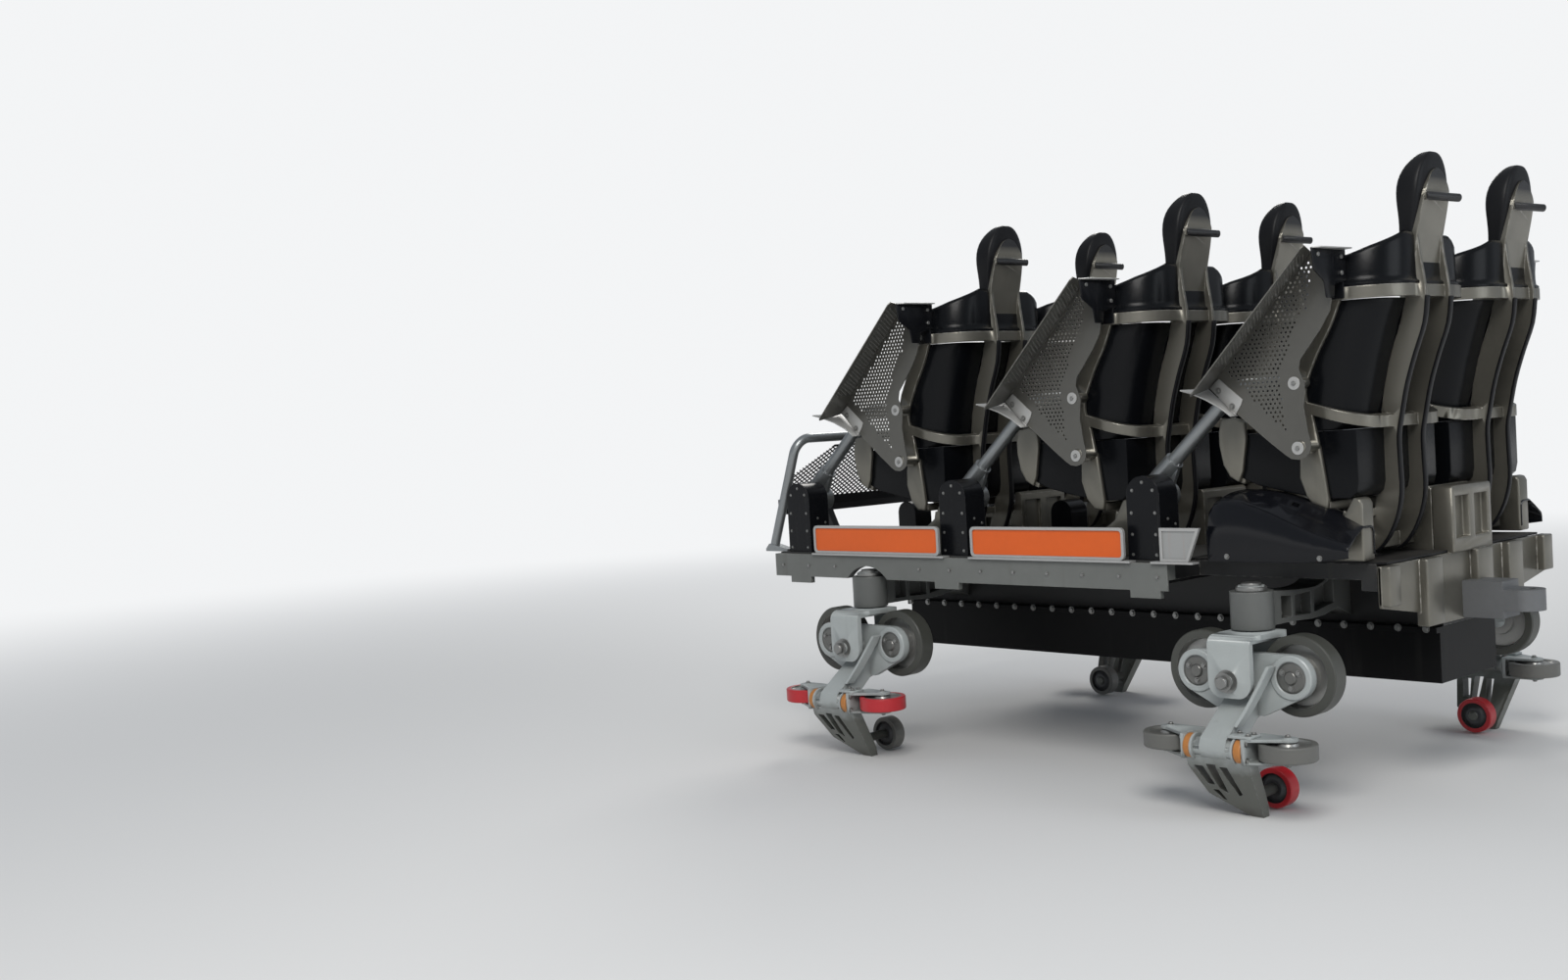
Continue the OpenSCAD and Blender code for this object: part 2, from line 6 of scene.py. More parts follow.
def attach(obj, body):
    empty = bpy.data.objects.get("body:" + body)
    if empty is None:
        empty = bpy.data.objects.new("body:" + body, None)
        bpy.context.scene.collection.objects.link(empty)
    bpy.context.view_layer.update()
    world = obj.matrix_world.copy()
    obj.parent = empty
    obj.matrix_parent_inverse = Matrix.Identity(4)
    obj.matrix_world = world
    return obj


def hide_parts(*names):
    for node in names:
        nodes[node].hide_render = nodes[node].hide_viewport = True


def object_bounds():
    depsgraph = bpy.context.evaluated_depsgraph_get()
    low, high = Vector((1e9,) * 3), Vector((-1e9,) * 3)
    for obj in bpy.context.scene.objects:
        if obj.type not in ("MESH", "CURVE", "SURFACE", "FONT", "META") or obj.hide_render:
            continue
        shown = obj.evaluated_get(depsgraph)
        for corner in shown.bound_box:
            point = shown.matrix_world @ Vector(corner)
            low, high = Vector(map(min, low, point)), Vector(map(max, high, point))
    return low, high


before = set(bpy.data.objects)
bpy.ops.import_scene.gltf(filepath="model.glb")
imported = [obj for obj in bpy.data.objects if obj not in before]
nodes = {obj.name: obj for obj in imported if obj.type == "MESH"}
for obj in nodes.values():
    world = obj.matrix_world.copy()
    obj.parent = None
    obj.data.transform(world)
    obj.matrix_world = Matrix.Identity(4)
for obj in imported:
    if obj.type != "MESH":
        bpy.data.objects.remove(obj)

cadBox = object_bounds()
print("frame loaded:", len(nodes), "nodes")


# camera, floor and lights

def makeCamera():
    view = dict(
        lens=36.56, sensor=36.0,
        place=(-4.232, 6.057, 1.502),
        right=(-0.6711, -0.7393, -0.0581),
        up=(-0.0119, -0.0676, 0.9977),
        back=(-0.7414, 0.6700, 0.0366),
    )
    data = bpy.data.cameras.new("photoView")
    data.lens = view["lens"]
    data.sensor_width = view["sensor"]
    data.clip_start, data.clip_end = 0.05, 200.0
    camera = bpy.data.objects.new("photoView", data)
    bpy.context.scene.collection.objects.link(camera)
    turned = Matrix((view["right"], view["up"], view["back"])).transposed().to_4x4()
    camera.matrix_world = Matrix.Translation(view["place"]) @ turned
    bpy.context.scene.camera = camera


def makeWorld():
    sky = dict(light=(0.86, 0.92, 1.0), strength=0.38, seen=(0.90, 0.91, 0.92))
    world = bpy.data.worlds.new("studio")
    bpy.context.scene.world = world
    world.use_nodes = True
    tree = world.node_tree
    tree.nodes.clear()
    lit = node(tree, "Background", Color=(*sky["light"], 1), Strength=sky["strength"])
    seen = node(tree, "Background", Color=(*sky["seen"], 1))
    path = node(tree, "LightPath")
    mix = node(tree, "MixShader", i0=path.outputs["Is Camera Ray"], i1=lit.outputs[0], i2=seen.outputs[0])
    node(tree, "OutputWorld", Surface=mix.outputs[0])


def makeFloor():
    ground = dict(radius=60.0, colour=(0.78, 0.78, 0.775), far=(0.90, 0.91, 0.92), fadeFrom=3.5, fadeTo=15.0)
    deselectAll()
    bpy.ops.mesh.primitive_circle_add(vertices=96, radius=ground["radius"], fill_type="NGON",
                                      location=(0, 0, cadBox[0].z))
    floor = bpy.context.object
    floor.name = "studioFloor"
    material = bpy.data.materials.new("studioFloor")
    material.use_nodes = True
    tree = material.node_tree
    tree.nodes.clear()
    near = node(tree, "BsdfDiffuse", Color=(*ground["colour"], 1))
    far = node(tree, "Emission", Color=(*ground["far"], 1))
    place = node(tree, "TexCoord")
    length = node(tree, "VectorMath", dict(operation="LENGTH"), i0=place.outputs["Object"])
    span = {"From Min": ground["fadeFrom"], "From Max": ground["fadeTo"]}
    fade = node(tree, "MapRange", dict(interpolation_type="SMOOTHSTEP"),
                Value=length.outputs["Value"], **span)
    mix = node(tree, "MixShader", i0=fade.outputs["Result"], i1=near.outputs[0], i2=far.outputs[0])
    node(tree, "OutputMaterial", Surface=mix.outputs[0])
    floor.data.materials.append(material)


def makeLights():
    lamps = dict(
        key=dict(place=(-5.0, 7.0, 7.5), size=5.0, power=600, tint=(1.0, 0.98, 0.95)),
        fill=dict(place=(-9.0, -1.0, 4.0), size=5.0, power=110, tint=(0.90, 0.95, 1.0)),
        rim=dict(place=(5.0, -6.5, 6.5), size=4.0, power=320, tint=(1.0, 0.98, 0.94)),
    )
    target = Vector((0, 0, 1.2))
    for name, lamp in lamps.items():
        data = bpy.data.lights.new(name + "Lamp", "AREA")
        data.shape = "DISK"
        data.size = lamp["size"]
        data.energy = lamp["power"]
        data.color = lamp["tint"]
        light = bpy.data.objects.new(name + "Lamp", data)
        bpy.context.scene.collection.objects.link(light)
        light.location = lamp["place"]
        light.rotation_euler = (target - light.location).to_track_quat("-Z", "Y").to_euler()
    bpy.context.scene.view_settings.view_transform = "Standard"


def deselectAll():
    for thing in list(bpy.context.selected_objects):
        thing.select_set(False)
    bpy.context.view_layer.objects.active = None


# shader groups that several finishes share

def newGroup(name, inputs, outputs):
    # a shader group, the sockets that its nodes read and the ones that they feed
    group = bpy.data.node_groups.new(name, "ShaderNodeTree")
    for socket, (kind, value) in inputs.items():
        made = group.interface.new_socket(name=socket, in_out="INPUT", socket_type="NodeSocket" + kind)
        made.default_value = value
    for socket, kind in outputs.items():
        group.interface.new_socket(name=socket, in_out="OUTPUT", socket_type="NodeSocket" + kind)
    return group, group.nodes.new("NodeGroupInput").outputs, group.nodes.new("NodeGroupOutput").inputs


def node(tree, kind, settings=None, **values):
    made = tree.nodes.new("ShaderNode" + kind)
    for key, value in (settings or {}).items():
        setattr(made, key, value)
    for key, value in values.items():
        feed(tree, value, made.inputs[int(key[1:]) if key[0] == "i" and key[1:].isdigit() else key])
    return made


def feed(tree, value, socket):
    if isinstance(value, bpy.types.NodeSocket):
        tree.links.new(value, socket)
    else:
        socket.default_value = value


def math2(tree, operation, a, b=0.0):
    return node(tree, "Math", dict(operation=operation), i0=a, i1=b).outputs[0]


def times(tree, product, *factors):
    for factor in factors:
        product = math2(tree, "MULTIPLY", product, factor)
    return product


def axes(tree, kind="TexCoord", socket="Object"):
    return node(tree, "SeparateXYZ", i0=node(tree, kind).outputs[socket]).outputs


def noiseValue(tree, scale, detail=3.0, rough=0.55, stretch=(1, 1, 1)):
    place = node(tree, "TexCoord")
    spread = node(tree, "Mapping", i0=place.outputs["Object"], Scale=stretch)
    noise = node(tree, "TexNoise", Vector=spread.outputs[0], Scale=scale, Detail=detail, Roughness=rough)
    return noise.outputs[0]


def ranged(tree, value, low, high, outLow=0.0, outHigh=1.0):
    span = {"From Min": low, "From Max": high, "To Min": outLow, "To Max": outHigh}
    return node(tree, "MapRange", Value=value, **span).outputs[0]


def makeToneGroup():
    group, given, out = newGroup("tone", dict(
        Color=("Color", (0.5, 0.5, 0.5, 1)), Variation=("Float", 0.1), Scale=("Float", 4.0)),
        dict(Color="Color"))
    broad = noiseValue(group, given["Scale"])
    fine = noiseValue(group, times(group, given["Scale"], 9.0), detail=2.0)
    both = math2(group, "ADD", times(group, broad, 0.7), times(group, fine, 0.3))
    swing = times(group, math2(group, "SUBTRACT", both, 0.5), given["Variation"])
    level = math2(group, "ADD", times(group, swing, 4.0), 1.0)
    shade = node(group, "HueSaturation", Color=given["Color"], Value=level)
    group.links.new(shade.outputs[0], out["Color"])


# worn paint and painted highlight: edges found through the bevel normal are lightened, broken into patches by
# noise
def makeEdgeGroup():
    group, given, out = newGroup("edgeWearAndHighlight", dict(
        Width=("Float", 0.003), Amount=("Float", 0.6), Scale=("Float", 40.0)), dict(Mask="Float"))
    bevel = node(group, "Bevel", dict(samples=4), Radius=given["Width"])
    shape = node(group, "NewGeometry")
    flat = node(group, "VectorMath", dict(operation="DOT_PRODUCT"), i0=bevel.outputs[0],
                i1=shape.outputs["Normal"])
    edge = ranged(group, flat.outputs["Value"], 0.995, 0.86)
    broken = ranged(group, noiseValue(group, given["Scale"], detail=4.0), 0.40, 0.62)
    group.links.new(times(group, edge, broken, given["Amount"]), out["Mask"])


# painted shade and grime: darker where ambient occlusion finds recesses and corners, broken into patches by
# noise
def makeCreviceGroup():
    group, given, out = newGroup("creviceShadeAndGrime", dict(
        Reach=("Float", 0.05), Amount=("Float", 0.6), Scale=("Float", 18.0)), dict(Mask="Float"))
    shade = node(group, "AmbientOcclusion", dict(samples=4), Distance=given["Reach"])
    deep = ranged(group, shade.outputs["AO"], 0.85, 0.25)
    patchy = ranged(group, noiseValue(group, given["Scale"], detail=4.0), 0.30, 0.65, 0.35, 1.0)
    group.links.new(times(group, deep, patchy, given["Amount"]), out["Mask"])


def makeStreakGroup():
    group, given, out = newGroup("streaks", dict(
        Scale=("Float", 26.0), Amount=("Float", 0.3), Coverage=("Float", 0.5)), dict(Mask="Float"))
    runs = noiseValue(group, given["Scale"], detail=4.0, stretch=(1, 1, 0.07))
    patches = noiseValue(group, 2.2, detail=2.0)
    low = math2(group, "SUBTRACT", 0.80, times(group, given["Coverage"], 0.4))
    mask = times(group, ranged(group, runs, low, 0.86), ranged(group, patches, 0.38, 0.62))
    group.links.new(times(group, mask, given["Amount"]), out["Mask"])


def makeSpeckGroup():
    group, given, out = newGroup("specks", dict(
        Scale=("Float", 90.0), Amount=("Float", 0.5), Size=("Float", 0.12)), dict(Mask="Float"))
    place = node(group, "TexCoord")
    cells = node(group, "TexVoronoi", Vector=place.outputs["Object"], Scale=given["Scale"])
    dots = ranged(group, cells.outputs["Distance"], given["Size"], 0.0)
    patches = ranged(group, noiseValue(group, 3.0), 0.45, 0.65)
    group.links.new(times(group, dots, patches, given["Amount"]), out["Mask"])


def makeDustGroup():
    group, given, out = newGroup("dust", dict(Amount=("Float", 0.4), Scale=("Float", 7.0)),
                                 dict(Mask="Float"))
    upward = ranged(group, axes(group, "NewGeometry", "Normal")["Z"], 0.25, 0.95)
    patchy = ranged(group, noiseValue(group, given["Scale"], detail=5.0), 0.35, 0.70, 0.25, 1.0)
    group.links.new(times(group, upward, patchy, given["Amount"]), out["Mask"])


def makeGrainGroup():
    group, given, out = newGroup("grain", dict(
        Scale=("Float", 500.0), Stretch=("Vector", (1, 1, 1))), dict(Height="Float"))
    place = node(group, "TexCoord")
    spread = node(group, "VectorMath", dict(operation="MULTIPLY"), i0=place.outputs["Object"],
                  i1=given["Stretch"])
    noise = node(group, "TexNoise", Vector=spread.outputs[0], Scale=given["Scale"], Detail=3.0, Roughness=0.6)
    group.links.new(noise.outputs[0], out["Height"])


def makeSoftEdgeGroup():
    group, given, out = newGroup("softEdge", dict(Radius=("Float", 0.003)), dict(Normal="Vector"))
    bevel = node(group, "Bevel", dict(samples=4), Radius=given["Radius"])
    group.links.new(bevel.outputs[0], out["Normal"])


def makeRadiusGroup():
    # distance from the nearest wheel axle of one kind, with the bogies' mirror symmetry folded away
    group, given, out = newGroup("axleDistance", dict(
        Shift=("Float", 0.0), Kingpin=("Float", 1.0), Step=("Float", 0.196), Other=("Float", 0.509),
        Upright=("Float", 0.0)), dict(Radius="Float"))
    parts = axes(group)
    along = math2(group, "ABSOLUTE", math2(group, "SUBTRACT", parts["X"], given["Shift"]))
    near = math2(group, "ABSOLUTE", math2(group, "SUBTRACT", along, given["Kingpin"]))
    dx = math2(group, "SUBTRACT", near, given["Step"])
    wide = math2(group, "ABSOLUTE", parts["Y"])
    side = node(group, "Mix", Factor=given["Upright"], A=parts["Z"], B=wide).outputs[0]
    dz = math2(group, "SUBTRACT", side, given["Other"])
    squares = math2(group, "ADD", times(group, dx, dx), times(group, dz, dz))
    group.links.new(math2(group, "SQRT", squares), out["Radius"])


# finishes

def startFinish(name, colour, rough, metal=0.0, coat=0.0, specular=0.5):
    material = bpy.data.materials.new(name)
    material.use_nodes = True
    tree = material.node_tree
    shader = tree.nodes["Principled BSDF"]
    shader.inputs["Coat Weight"].default_value = coat
    shader.inputs["Coat Roughness"].default_value = 0.12
    shader.inputs["Specular IOR Level"].default_value = specular
    return dict(material=material, tree=tree, shader=shader, colour=(*colour, 1), rough=rough, metal=metal,
                height=None, normal=None)


def groupNode(finish, name, **values):
    made = finish["tree"].nodes.new("ShaderNodeGroup")
    made.node_tree = bpy.data.node_groups[name]
    for key, value in values.items():
        feed(finish["tree"], value, made.inputs[key])
    return made


def tone(finish, variation, scale):
    toned = groupNode(finish, "tone", Color=finish["colour"], Variation=variation, Scale=scale)
    finish["colour"] = toned.outputs[0]


def blended(finish, mask, under, over, kind):
    made = node(finish["tree"], "Mix", dict(data_type=kind))
    sockets = dict(FLOAT=(0, 2, 3, 0), RGBA=(0, 6, 7, 2))[kind]
    for value, index in zip((mask, under, over), sockets):
        feed(finish["tree"], value, made.inputs[index])
    return made.outputs[sockets[3]]


def cover(finish, mask, colour=None, rough=None, metal=None):
    # lays another colour, roughness or metal over the finish where the mask is white
    if colour:
        finish["colour"] = blended(finish, mask, finish["colour"], (*colour, 1), "RGBA")
    if rough is not None:
        finish["rough"] = blended(finish, mask, finish["rough"], rough, "FLOAT")
    if metal is not None:
        finish["metal"] = blended(finish, mask, finish["metal"], metal, "FLOAT")


def maskOf(finish, name, **values):
    return groupNode(finish, name, **values).outputs["Mask"]


def wearAndPaintedLight(finish, kind, colour, rough, metal=None, **values):
    # dirt, scratches, dust, painted shade in recesses and painted highlights on edges, each from the shader
    # group of its kind
    cover(finish, maskOf(finish, kind, **values), colour, rough, metal)


def grain(finish, scale, depth, stretch=(1, 1, 1)):
    finish["height"] = (groupNode(finish, "grain", Scale=scale, Stretch=stretch).outputs[0], depth)


def softEdge(finish, radius):
    finish["normal"] = groupNode(finish, "softEdge", Radius=radius).outputs[0]


def endFinish(finish):
    tree, shader = finish["tree"], finish["shader"]
    feed(tree, finish["colour"], shader.inputs["Base Color"])
    feed(tree, finish["rough"], shader.inputs["Roughness"])
    feed(tree, finish["metal"], shader.inputs["Metallic"])
    normal = finish["normal"]
    if finish["height"]:
        height, depth = finish["height"]
        bump = node(tree, "Bump", Strength=1.0, Distance=depth, Height=height)
        if normal:
            tree.links.new(normal, bump.inputs["Normal"])
        normal = bump.outputs[0]
    if normal:
        tree.links.new(normal, shader.inputs["Normal"])
    return finish["material"]


# each mark of wear, dirt and painted light is its kind, colour, roughness and perhaps metal, then the values
# of its shader group
plainFinishes = dict(
    armPaint=dict(
        colour=(0.115, 0.12, 0.115), rough=0.40, tone=(0.08, 3.0), grain=(180.0, 0.0005), soft=0.005,
        wearAndPaintedLight=[("creviceShadeAndGrime", (0.05, 0.048, 0.042), 0.8, dict(Reach=0.07, Amount=0.8, Scale=14.0)),
              ("edgeWearAndHighlight", (0.55, 0.56, 0.54), 0.35, dict(Width=0.004, Amount=0.5, Scale=50.0))]),
    sillMetal=dict(
        colour=(0.44, 0.44, 0.43), rough=0.36, metal=0.35, tone=(0.06, 5.0), grain=(500.0, 0.0001),
        soft=0.002,
        wearAndPaintedLight=[("creviceShadeAndGrime", (0.10, 0.09, 0.08), 0.7, dict(Reach=0.03, Amount=0.5, Scale=25.0)),
              ("edgeWearAndHighlight", (0.72, 0.72, 0.70), 0.3, 0.7, dict(Width=0.002, Amount=0.5, Scale=70.0))]),
    coverBlack=dict(
        colour=(0.006, 0.0065, 0.008), rough=0.26, coat=0.05, specular=0.16, tone=(0.10, 4.0),
        grain=(380.0, 0.00015), soft=0.006,
        wearAndPaintedLight=[("dust", (0.12, 0.115, 0.11), 0.7, dict(Amount=0.12, Scale=8.0)),
              ("streaks", (0.06, 0.058, 0.055), 0.6, dict(Scale=26.0, Amount=0.25, Coverage=0.5)),
              ("edgeWearAndHighlight", (0.16, 0.16, 0.165), 0.45, dict(Width=0.003, Amount=0.35, Scale=60.0))]),
    fenderGloss=dict(
        colour=(0.0035, 0.004, 0.006), rough=0.12, coat=0.25, specular=0.2, tone=(0.08, 3.0), soft=0.008,
        wearAndPaintedLight=[("dust", (0.12, 0.115, 0.11), 0.5, dict(Amount=0.05, Scale=6.0)),
              ("streaks", (0.10, 0.095, 0.09), 0.4, dict(Scale=24.0, Amount=0.10, Coverage=0.6))]),
    shellBlack=dict(
        colour=(0.0035, 0.004, 0.005), rough=0.22, coat=0.05, specular=0.14, tone=(0.12, 3.0),
        grain=(650.0, 0.0003), soft=0.008,
        wearAndPaintedLight=[("dust", (0.08, 0.08, 0.08), 0.5, dict(Amount=0.05, Scale=6.0))]),
    magnetBlack=dict(
        colour=(0.005, 0.0052, 0.0056), rough=0.42, specular=0.14, tone=(0.10, 3.0), grain=(220.0, 0.0003),
        soft=0.004,
        wearAndPaintedLight=[("streaks", (0.07, 0.066, 0.06), 0.7, dict(Scale=18.0, Amount=0.35, Coverage=0.6))]),
    tubeSteel=dict(
        colour=(0.30, 0.315, 0.32), rough=0.33, metal=0.75, tone=(0.08, 6.0),
        grain=(300.0, 0.00012, (1, 6, 1)), soft=0.003,
        wearAndPaintedLight=[("specks", (0.10, 0.09, 0.08), 0.6, 0.2, dict(Scale=110.0, Amount=0.5, Size=0.10))]),
    couplerSteel=dict(
        colour=(0.16, 0.165, 0.17), rough=0.5, metal=0.4, tone=(0.12, 5.0), grain=(240.0, 0.0004), soft=0.004,
        wearAndPaintedLight=[("specks", (0.16, 0.07, 0.035), 0.8, 0.0, dict(Scale=80.0, Amount=0.7, Size=0.16))]),
    shieldSheet=dict(
        colour=(0.140, 0.137, 0.124), rough=0.32, metal=0.65, tone=(0.08, 3.0), grain=(420.0, 0.0001),
        wearAndPaintedLight=[("specks", (0.36, 0.35, 0.32), 0.5, dict(Scale=80.0, Amount=0.4, Size=0.09)),
              ("edgeWearAndHighlight", (0.50, 0.49, 0.45), 0.35, 0.6, dict(Width=0.002, Amount=0.7, Scale=60.0))]),
    softRubber=dict(
        colour=(0.006, 0.0063, 0.0075), rough=0.42, specular=0.2, tone=(0.12, 5.0), grain=(700.0, 0.0002),
        wearAndPaintedLight=[("dust", (0.10, 0.10, 0.10), 0.8, dict(Amount=0.10, Scale=7.0))]),
    bushOrange=dict(
        colour=(0.50, 0.20, 0.05), rough=0.5, tone=(0.10, 6.0),
        wearAndPaintedLight=[("creviceShadeAndGrime", (0.10, 0.06, 0.04), 0.8, dict(Reach=0.02, Amount=0.7, Scale=40.0))]),
    boltSteel=dict(
        colour=(0.30, 0.30, 0.29), rough=0.38, metal=0.8, tone=(0.12, 12.0),
        wearAndPaintedLight=[("specks", (0.14, 0.09, 0.06), 0.7, 0.1, dict(Scale=150.0, Amount=0.5, Size=0.2))]),
    hubDark=dict(
        colour=(0.19, 0.19, 0.18), rough=0.34, metal=0.75, tone=(0.10, 9.0),
        wearAndPaintedLight=[("creviceShadeAndGrime", (0.03, 0.03, 0.03), 0.7, dict(Reach=0.02, Amount=0.6, Scale=40.0)),
              ("edgeWearAndHighlight", (0.36, 0.36, 0.35), 0.3, 0.8, dict(Width=0.0015, Amount=0.5, Scale=90.0))]),
)


def plainFinish(name):
    look = plainFinishes[name]
    shine = {key: look[key] for key in ("metal", "coat", "specular") if key in look}
    f = startFinish(name, look["colour"], look["rough"], **shine)
    tone(f, *look["tone"])
    for row in look.get("wearAndPaintedLight", ()):
        wearAndPaintedLight(f, *row[:-1], **row[-1])
    if "grain" in look:
        grain(f, *look["grain"])
    if "soft" in look:
        softEdge(f, look["soft"])
    return endFinish(f)


def castGreyPaint():
    f = startFinish("castGreyPaint", (0.195, 0.186, 0.158), 0.30, metal=0.70)
    tree = f["tree"]
    tone(f, 0.10, 2.5)
    wearAndPaintedLight(f, "streaks", (0.10, 0.088, 0.066), 0.6, Scale=22.0, Amount=0.42, Coverage=0.55)
    # painted shade and grime in the recesses, then worn paint and painted highlights lightening the cast
    # edges strongly
    wearAndPaintedLight(f, "creviceShadeAndGrime", (0.06, 0.053, 0.042), 0.8, Reach=0.06, Amount=0.55, Scale=16.0)
    wearAndPaintedLight(f, "edgeWearAndHighlight", (0.62, 0.60, 0.54), 0.28, 0.6, Width=0.006, Amount=0.8, Scale=34.0)
    # the grab rods behind the head plates are black
    parts = axes(tree)
    along = math2(tree, "FLOORED_MODULO", parts["X"], 1.0)
    rod = times(tree, ranged(tree, along, 0.4425, 0.4415), ranged(tree, parts["Z"], 2.15, 2.151),
                ranged(tree, along, 0.38, 0.381))
    cover(f, rod, (0.012, 0.012, 0.013), 0.35, 0.0)
    grain(f, 260.0, 0.00035)
    softEdge(f, 0.007)
    return endFinish(f)


def bogiePaint():
    f = startFinish("bogiePaint", (0.40, 0.43, 0.425), 0.34, coat=0.15)
    tree = f["tree"]
    tone(f, 0.07, 3.0)
    # the carriers below the side wheels are darker towards the bottom, below about 0.3 m
    ragged = math2(tree, "ADD", axes(tree)["Z"], times(tree, noiseValue(tree, 14.0), 0.08))
    cover(f, ranged(tree, ragged, 0.30, 0.22), (0.115, 0.12, 0.105), 0.40)
    wearAndPaintedLight(f, "streaks", (0.20, 0.19, 0.17), 0.6, Scale=30.0, Amount=0.35, Coverage=0.5)
    wearAndPaintedLight(f, "creviceShadeAndGrime", (0.085, 0.08, 0.072), 0.75, Reach=0.05, Amount=0.75, Scale=20.0)
    wearAndPaintedLight(f, "specks", (0.16, 0.13, 0.10), 0.7, Scale=70.0, Amount=0.6, Size=0.10)
    wearAndPaintedLight(f, "edgeWearAndHighlight", (0.62, 0.64, 0.64), 0.3, Width=0.003, Amount=0.5, Scale=60.0)
    grain(f, 320.0, 0.0002)
    softEdge(f, 0.003)
    return endFinish(f)


def chassisPaint():
    f = startFinish("chassisPaint", (0.15, 0.157, 0.148), 0.42)
    tone(f, 0.12, 2.0)
    # painted shade: only the side beams are grey, the frame between them is coloured near-black because it
    # lies in shade behind them
    inner = ranged(f["tree"], math2(f["tree"], "ABSOLUTE", axes(f["tree"])["Y"]), 0.8085, 0.8080)
    cover(f, inner, (0.016, 0.0165, 0.017), 0.5)
    wearAndPaintedLight(f, "streaks", (0.085, 0.078, 0.066), 0.7, Scale=20.0, Amount=0.5, Coverage=0.6)
    wearAndPaintedLight(f, "creviceShadeAndGrime", (0.045, 0.042, 0.037), 0.8, Reach=0.08, Amount=0.7, Scale=12.0)
    wearAndPaintedLight(f, "dust", (0.30, 0.28, 0.25), 0.85, Amount=0.3, Scale=6.0)
    wearAndPaintedLight(f, "edgeWearAndHighlight", (0.46, 0.46, 0.43), 0.4, Width=0.004, Amount=0.6, Scale=45.0)
    grain(f, 240.0, 0.0003)
    softEdge(f, 0.004)
    return endFinish(f)


def floorPlate():
    f = startFinish("floorPlate", (0.040, 0.041, 0.041), 0.6, specular=0.25)
    tone(f, 0.14, 3.0)
    # the deck behind the last row is black
    cover(f, ranged(f["tree"], axes(f["tree"])["X"], -0.641, -0.642), (0.010, 0.010, 0.011), 0.5)
    wearAndPaintedLight(f, "dust", (0.16, 0.15, 0.13), 0.9, Amount=0.35, Scale=5.0)
    grain(f, 420.0, 0.0006)
    softEdge(f, 0.003)
    return endFinish(f)


def signOrange():
    f = startFinish("signOrange", (0.74, 0.118, 0.012), 0.36, coat=0.1, specular=0.35)
    tree = f["tree"]
    tone(f, 0.05, 4.0)
    # the slanted end plate and the backs of the boards are bare metal
    parts, facing = axes(tree), axes(tree, "NewGeometry", "True Normal")
    end = ranged(tree, parts["X"], -0.60, -0.61)
    back = ranged(tree, times(tree, facing["Y"], math2(tree, "SIGN", parts["Y"])), 0.1, 0.0)
    cover(f, math2(tree, "MAXIMUM", end, back), (0.36, 0.365, 0.36), 0.4, 0.3)
    wearAndPaintedLight(f, "specks", (0.40, 0.10, 0.04), 0.6, Scale=60.0, Amount=0.35, Size=0.10)
    wearAndPaintedLight(f, "streaks", (0.42, 0.16, 0.07), 0.6, Scale=30.0, Amount=0.18, Coverage=0.5)
    grain(f, 300.0, 0.00008)
    return endFinish(f)


def meshBlack():
    mesh = dict(pitch=0.034, wire=0.0046, fade=0.0006, slope=1.7, halfWide=0.776, low=1.166,
                high=1.412, rail=0.001)
    f = startFinish("meshBlack", (0.014, 0.014, 0.016), 0.45)
    tree = f["tree"]
    tone(f, 0.1, 5.0)
    parts = axes(tree)
    # diamond openings in the leaning panel, none in its rails
    wires = []
    for way in (1.0, -1.0):
        slope = math2(tree, "ADD", times(tree, parts["Y"], way), times(tree, parts["Z"], mesh["slope"]))
        step = math2(tree, "FLOORED_MODULO", slope, mesh["pitch"])
        wave = math2(tree, "ABSOLUTE", math2(tree, "SUBTRACT", step, mesh["pitch"] / 2))
        wires.append(ranged(tree, wave, mesh["wire"], mesh["wire"] - mesh["fade"]))
    hole = times(tree, ranged(tree, math2(tree, "ABSOLUTE", parts["Y"]), mesh["halfWide"],
                              mesh["halfWide"] - mesh["rail"]),
                 ranged(tree, parts["Z"], mesh["low"], mesh["low"] + mesh["rail"]),
                 ranged(tree, parts["Z"], mesh["high"], mesh["high"] - mesh["rail"]))
    alpha = math2(tree, "MAXIMUM", math2(tree, "MAXIMUM", *wires), math2(tree, "SUBTRACT", 1.0, hole))
    feed(tree, alpha, f["shader"].inputs["Alpha"])
    grain(f, 300.0, 0.0002)
    return endFinish(f)


def wheelFinish(name, body, tread, axle, rimRadius):
    f = startFinish(name, body["colour"], body["rough"], metal=body["metal"])
    tone(f, 0.08, 8.0)
    wearAndPaintedLight(f, "creviceShadeAndGrime", (0.06, 0.055, 0.05), 0.75, 0.1, Reach=0.04, Amount=0.7, Scale=30.0)
    radius = groupNode(f, "axleDistance", **axle).outputs[0]
    onTread = ranged(f["tree"], radius, rimRadius - 0.0006, rimRadius + 0.0006)
    cover(f, onTread, tread["colour"], tread["rough"], 0.0)
    worn = times(f["tree"], onTread, maskOf(f, "specks", Scale=120.0, Amount=0.6, Size=0.2))
    cover(f, worn, (0.05, 0.045, 0.04), 0.8)
    grain(f, 350.0, 0.0002)
    softEdge(f, 0.003)
    return endFinish(f)


roadAxle = dict(Shift=0.0, Kingpin=1.0, Step=0.196, Other=0.509, Upright=0.0)
sideAxle = dict(Shift=0.0, Kingpin=1.0, Step=0.243, Other=1.028, Upright=1.0)
upstopAxle = dict(Shift=-0.07, Kingpin=1.0, Step=0.0, Other=0.082, Upright=0.0)
aluminium = dict(colour=(0.40, 0.40, 0.385), rough=0.32, metal=0.8)
darkSteel = dict(colour=(0.08, 0.082, 0.085), rough=0.45, metal=0.6)
urethane = dict(colour=(0.062, 0.064, 0.056), rough=0.40)
redTread = dict(colour=(0.50, 0.022, 0.03), rough=0.33)
greyTread = dict(colour=(0.135, 0.135, 0.125), rough=0.45)


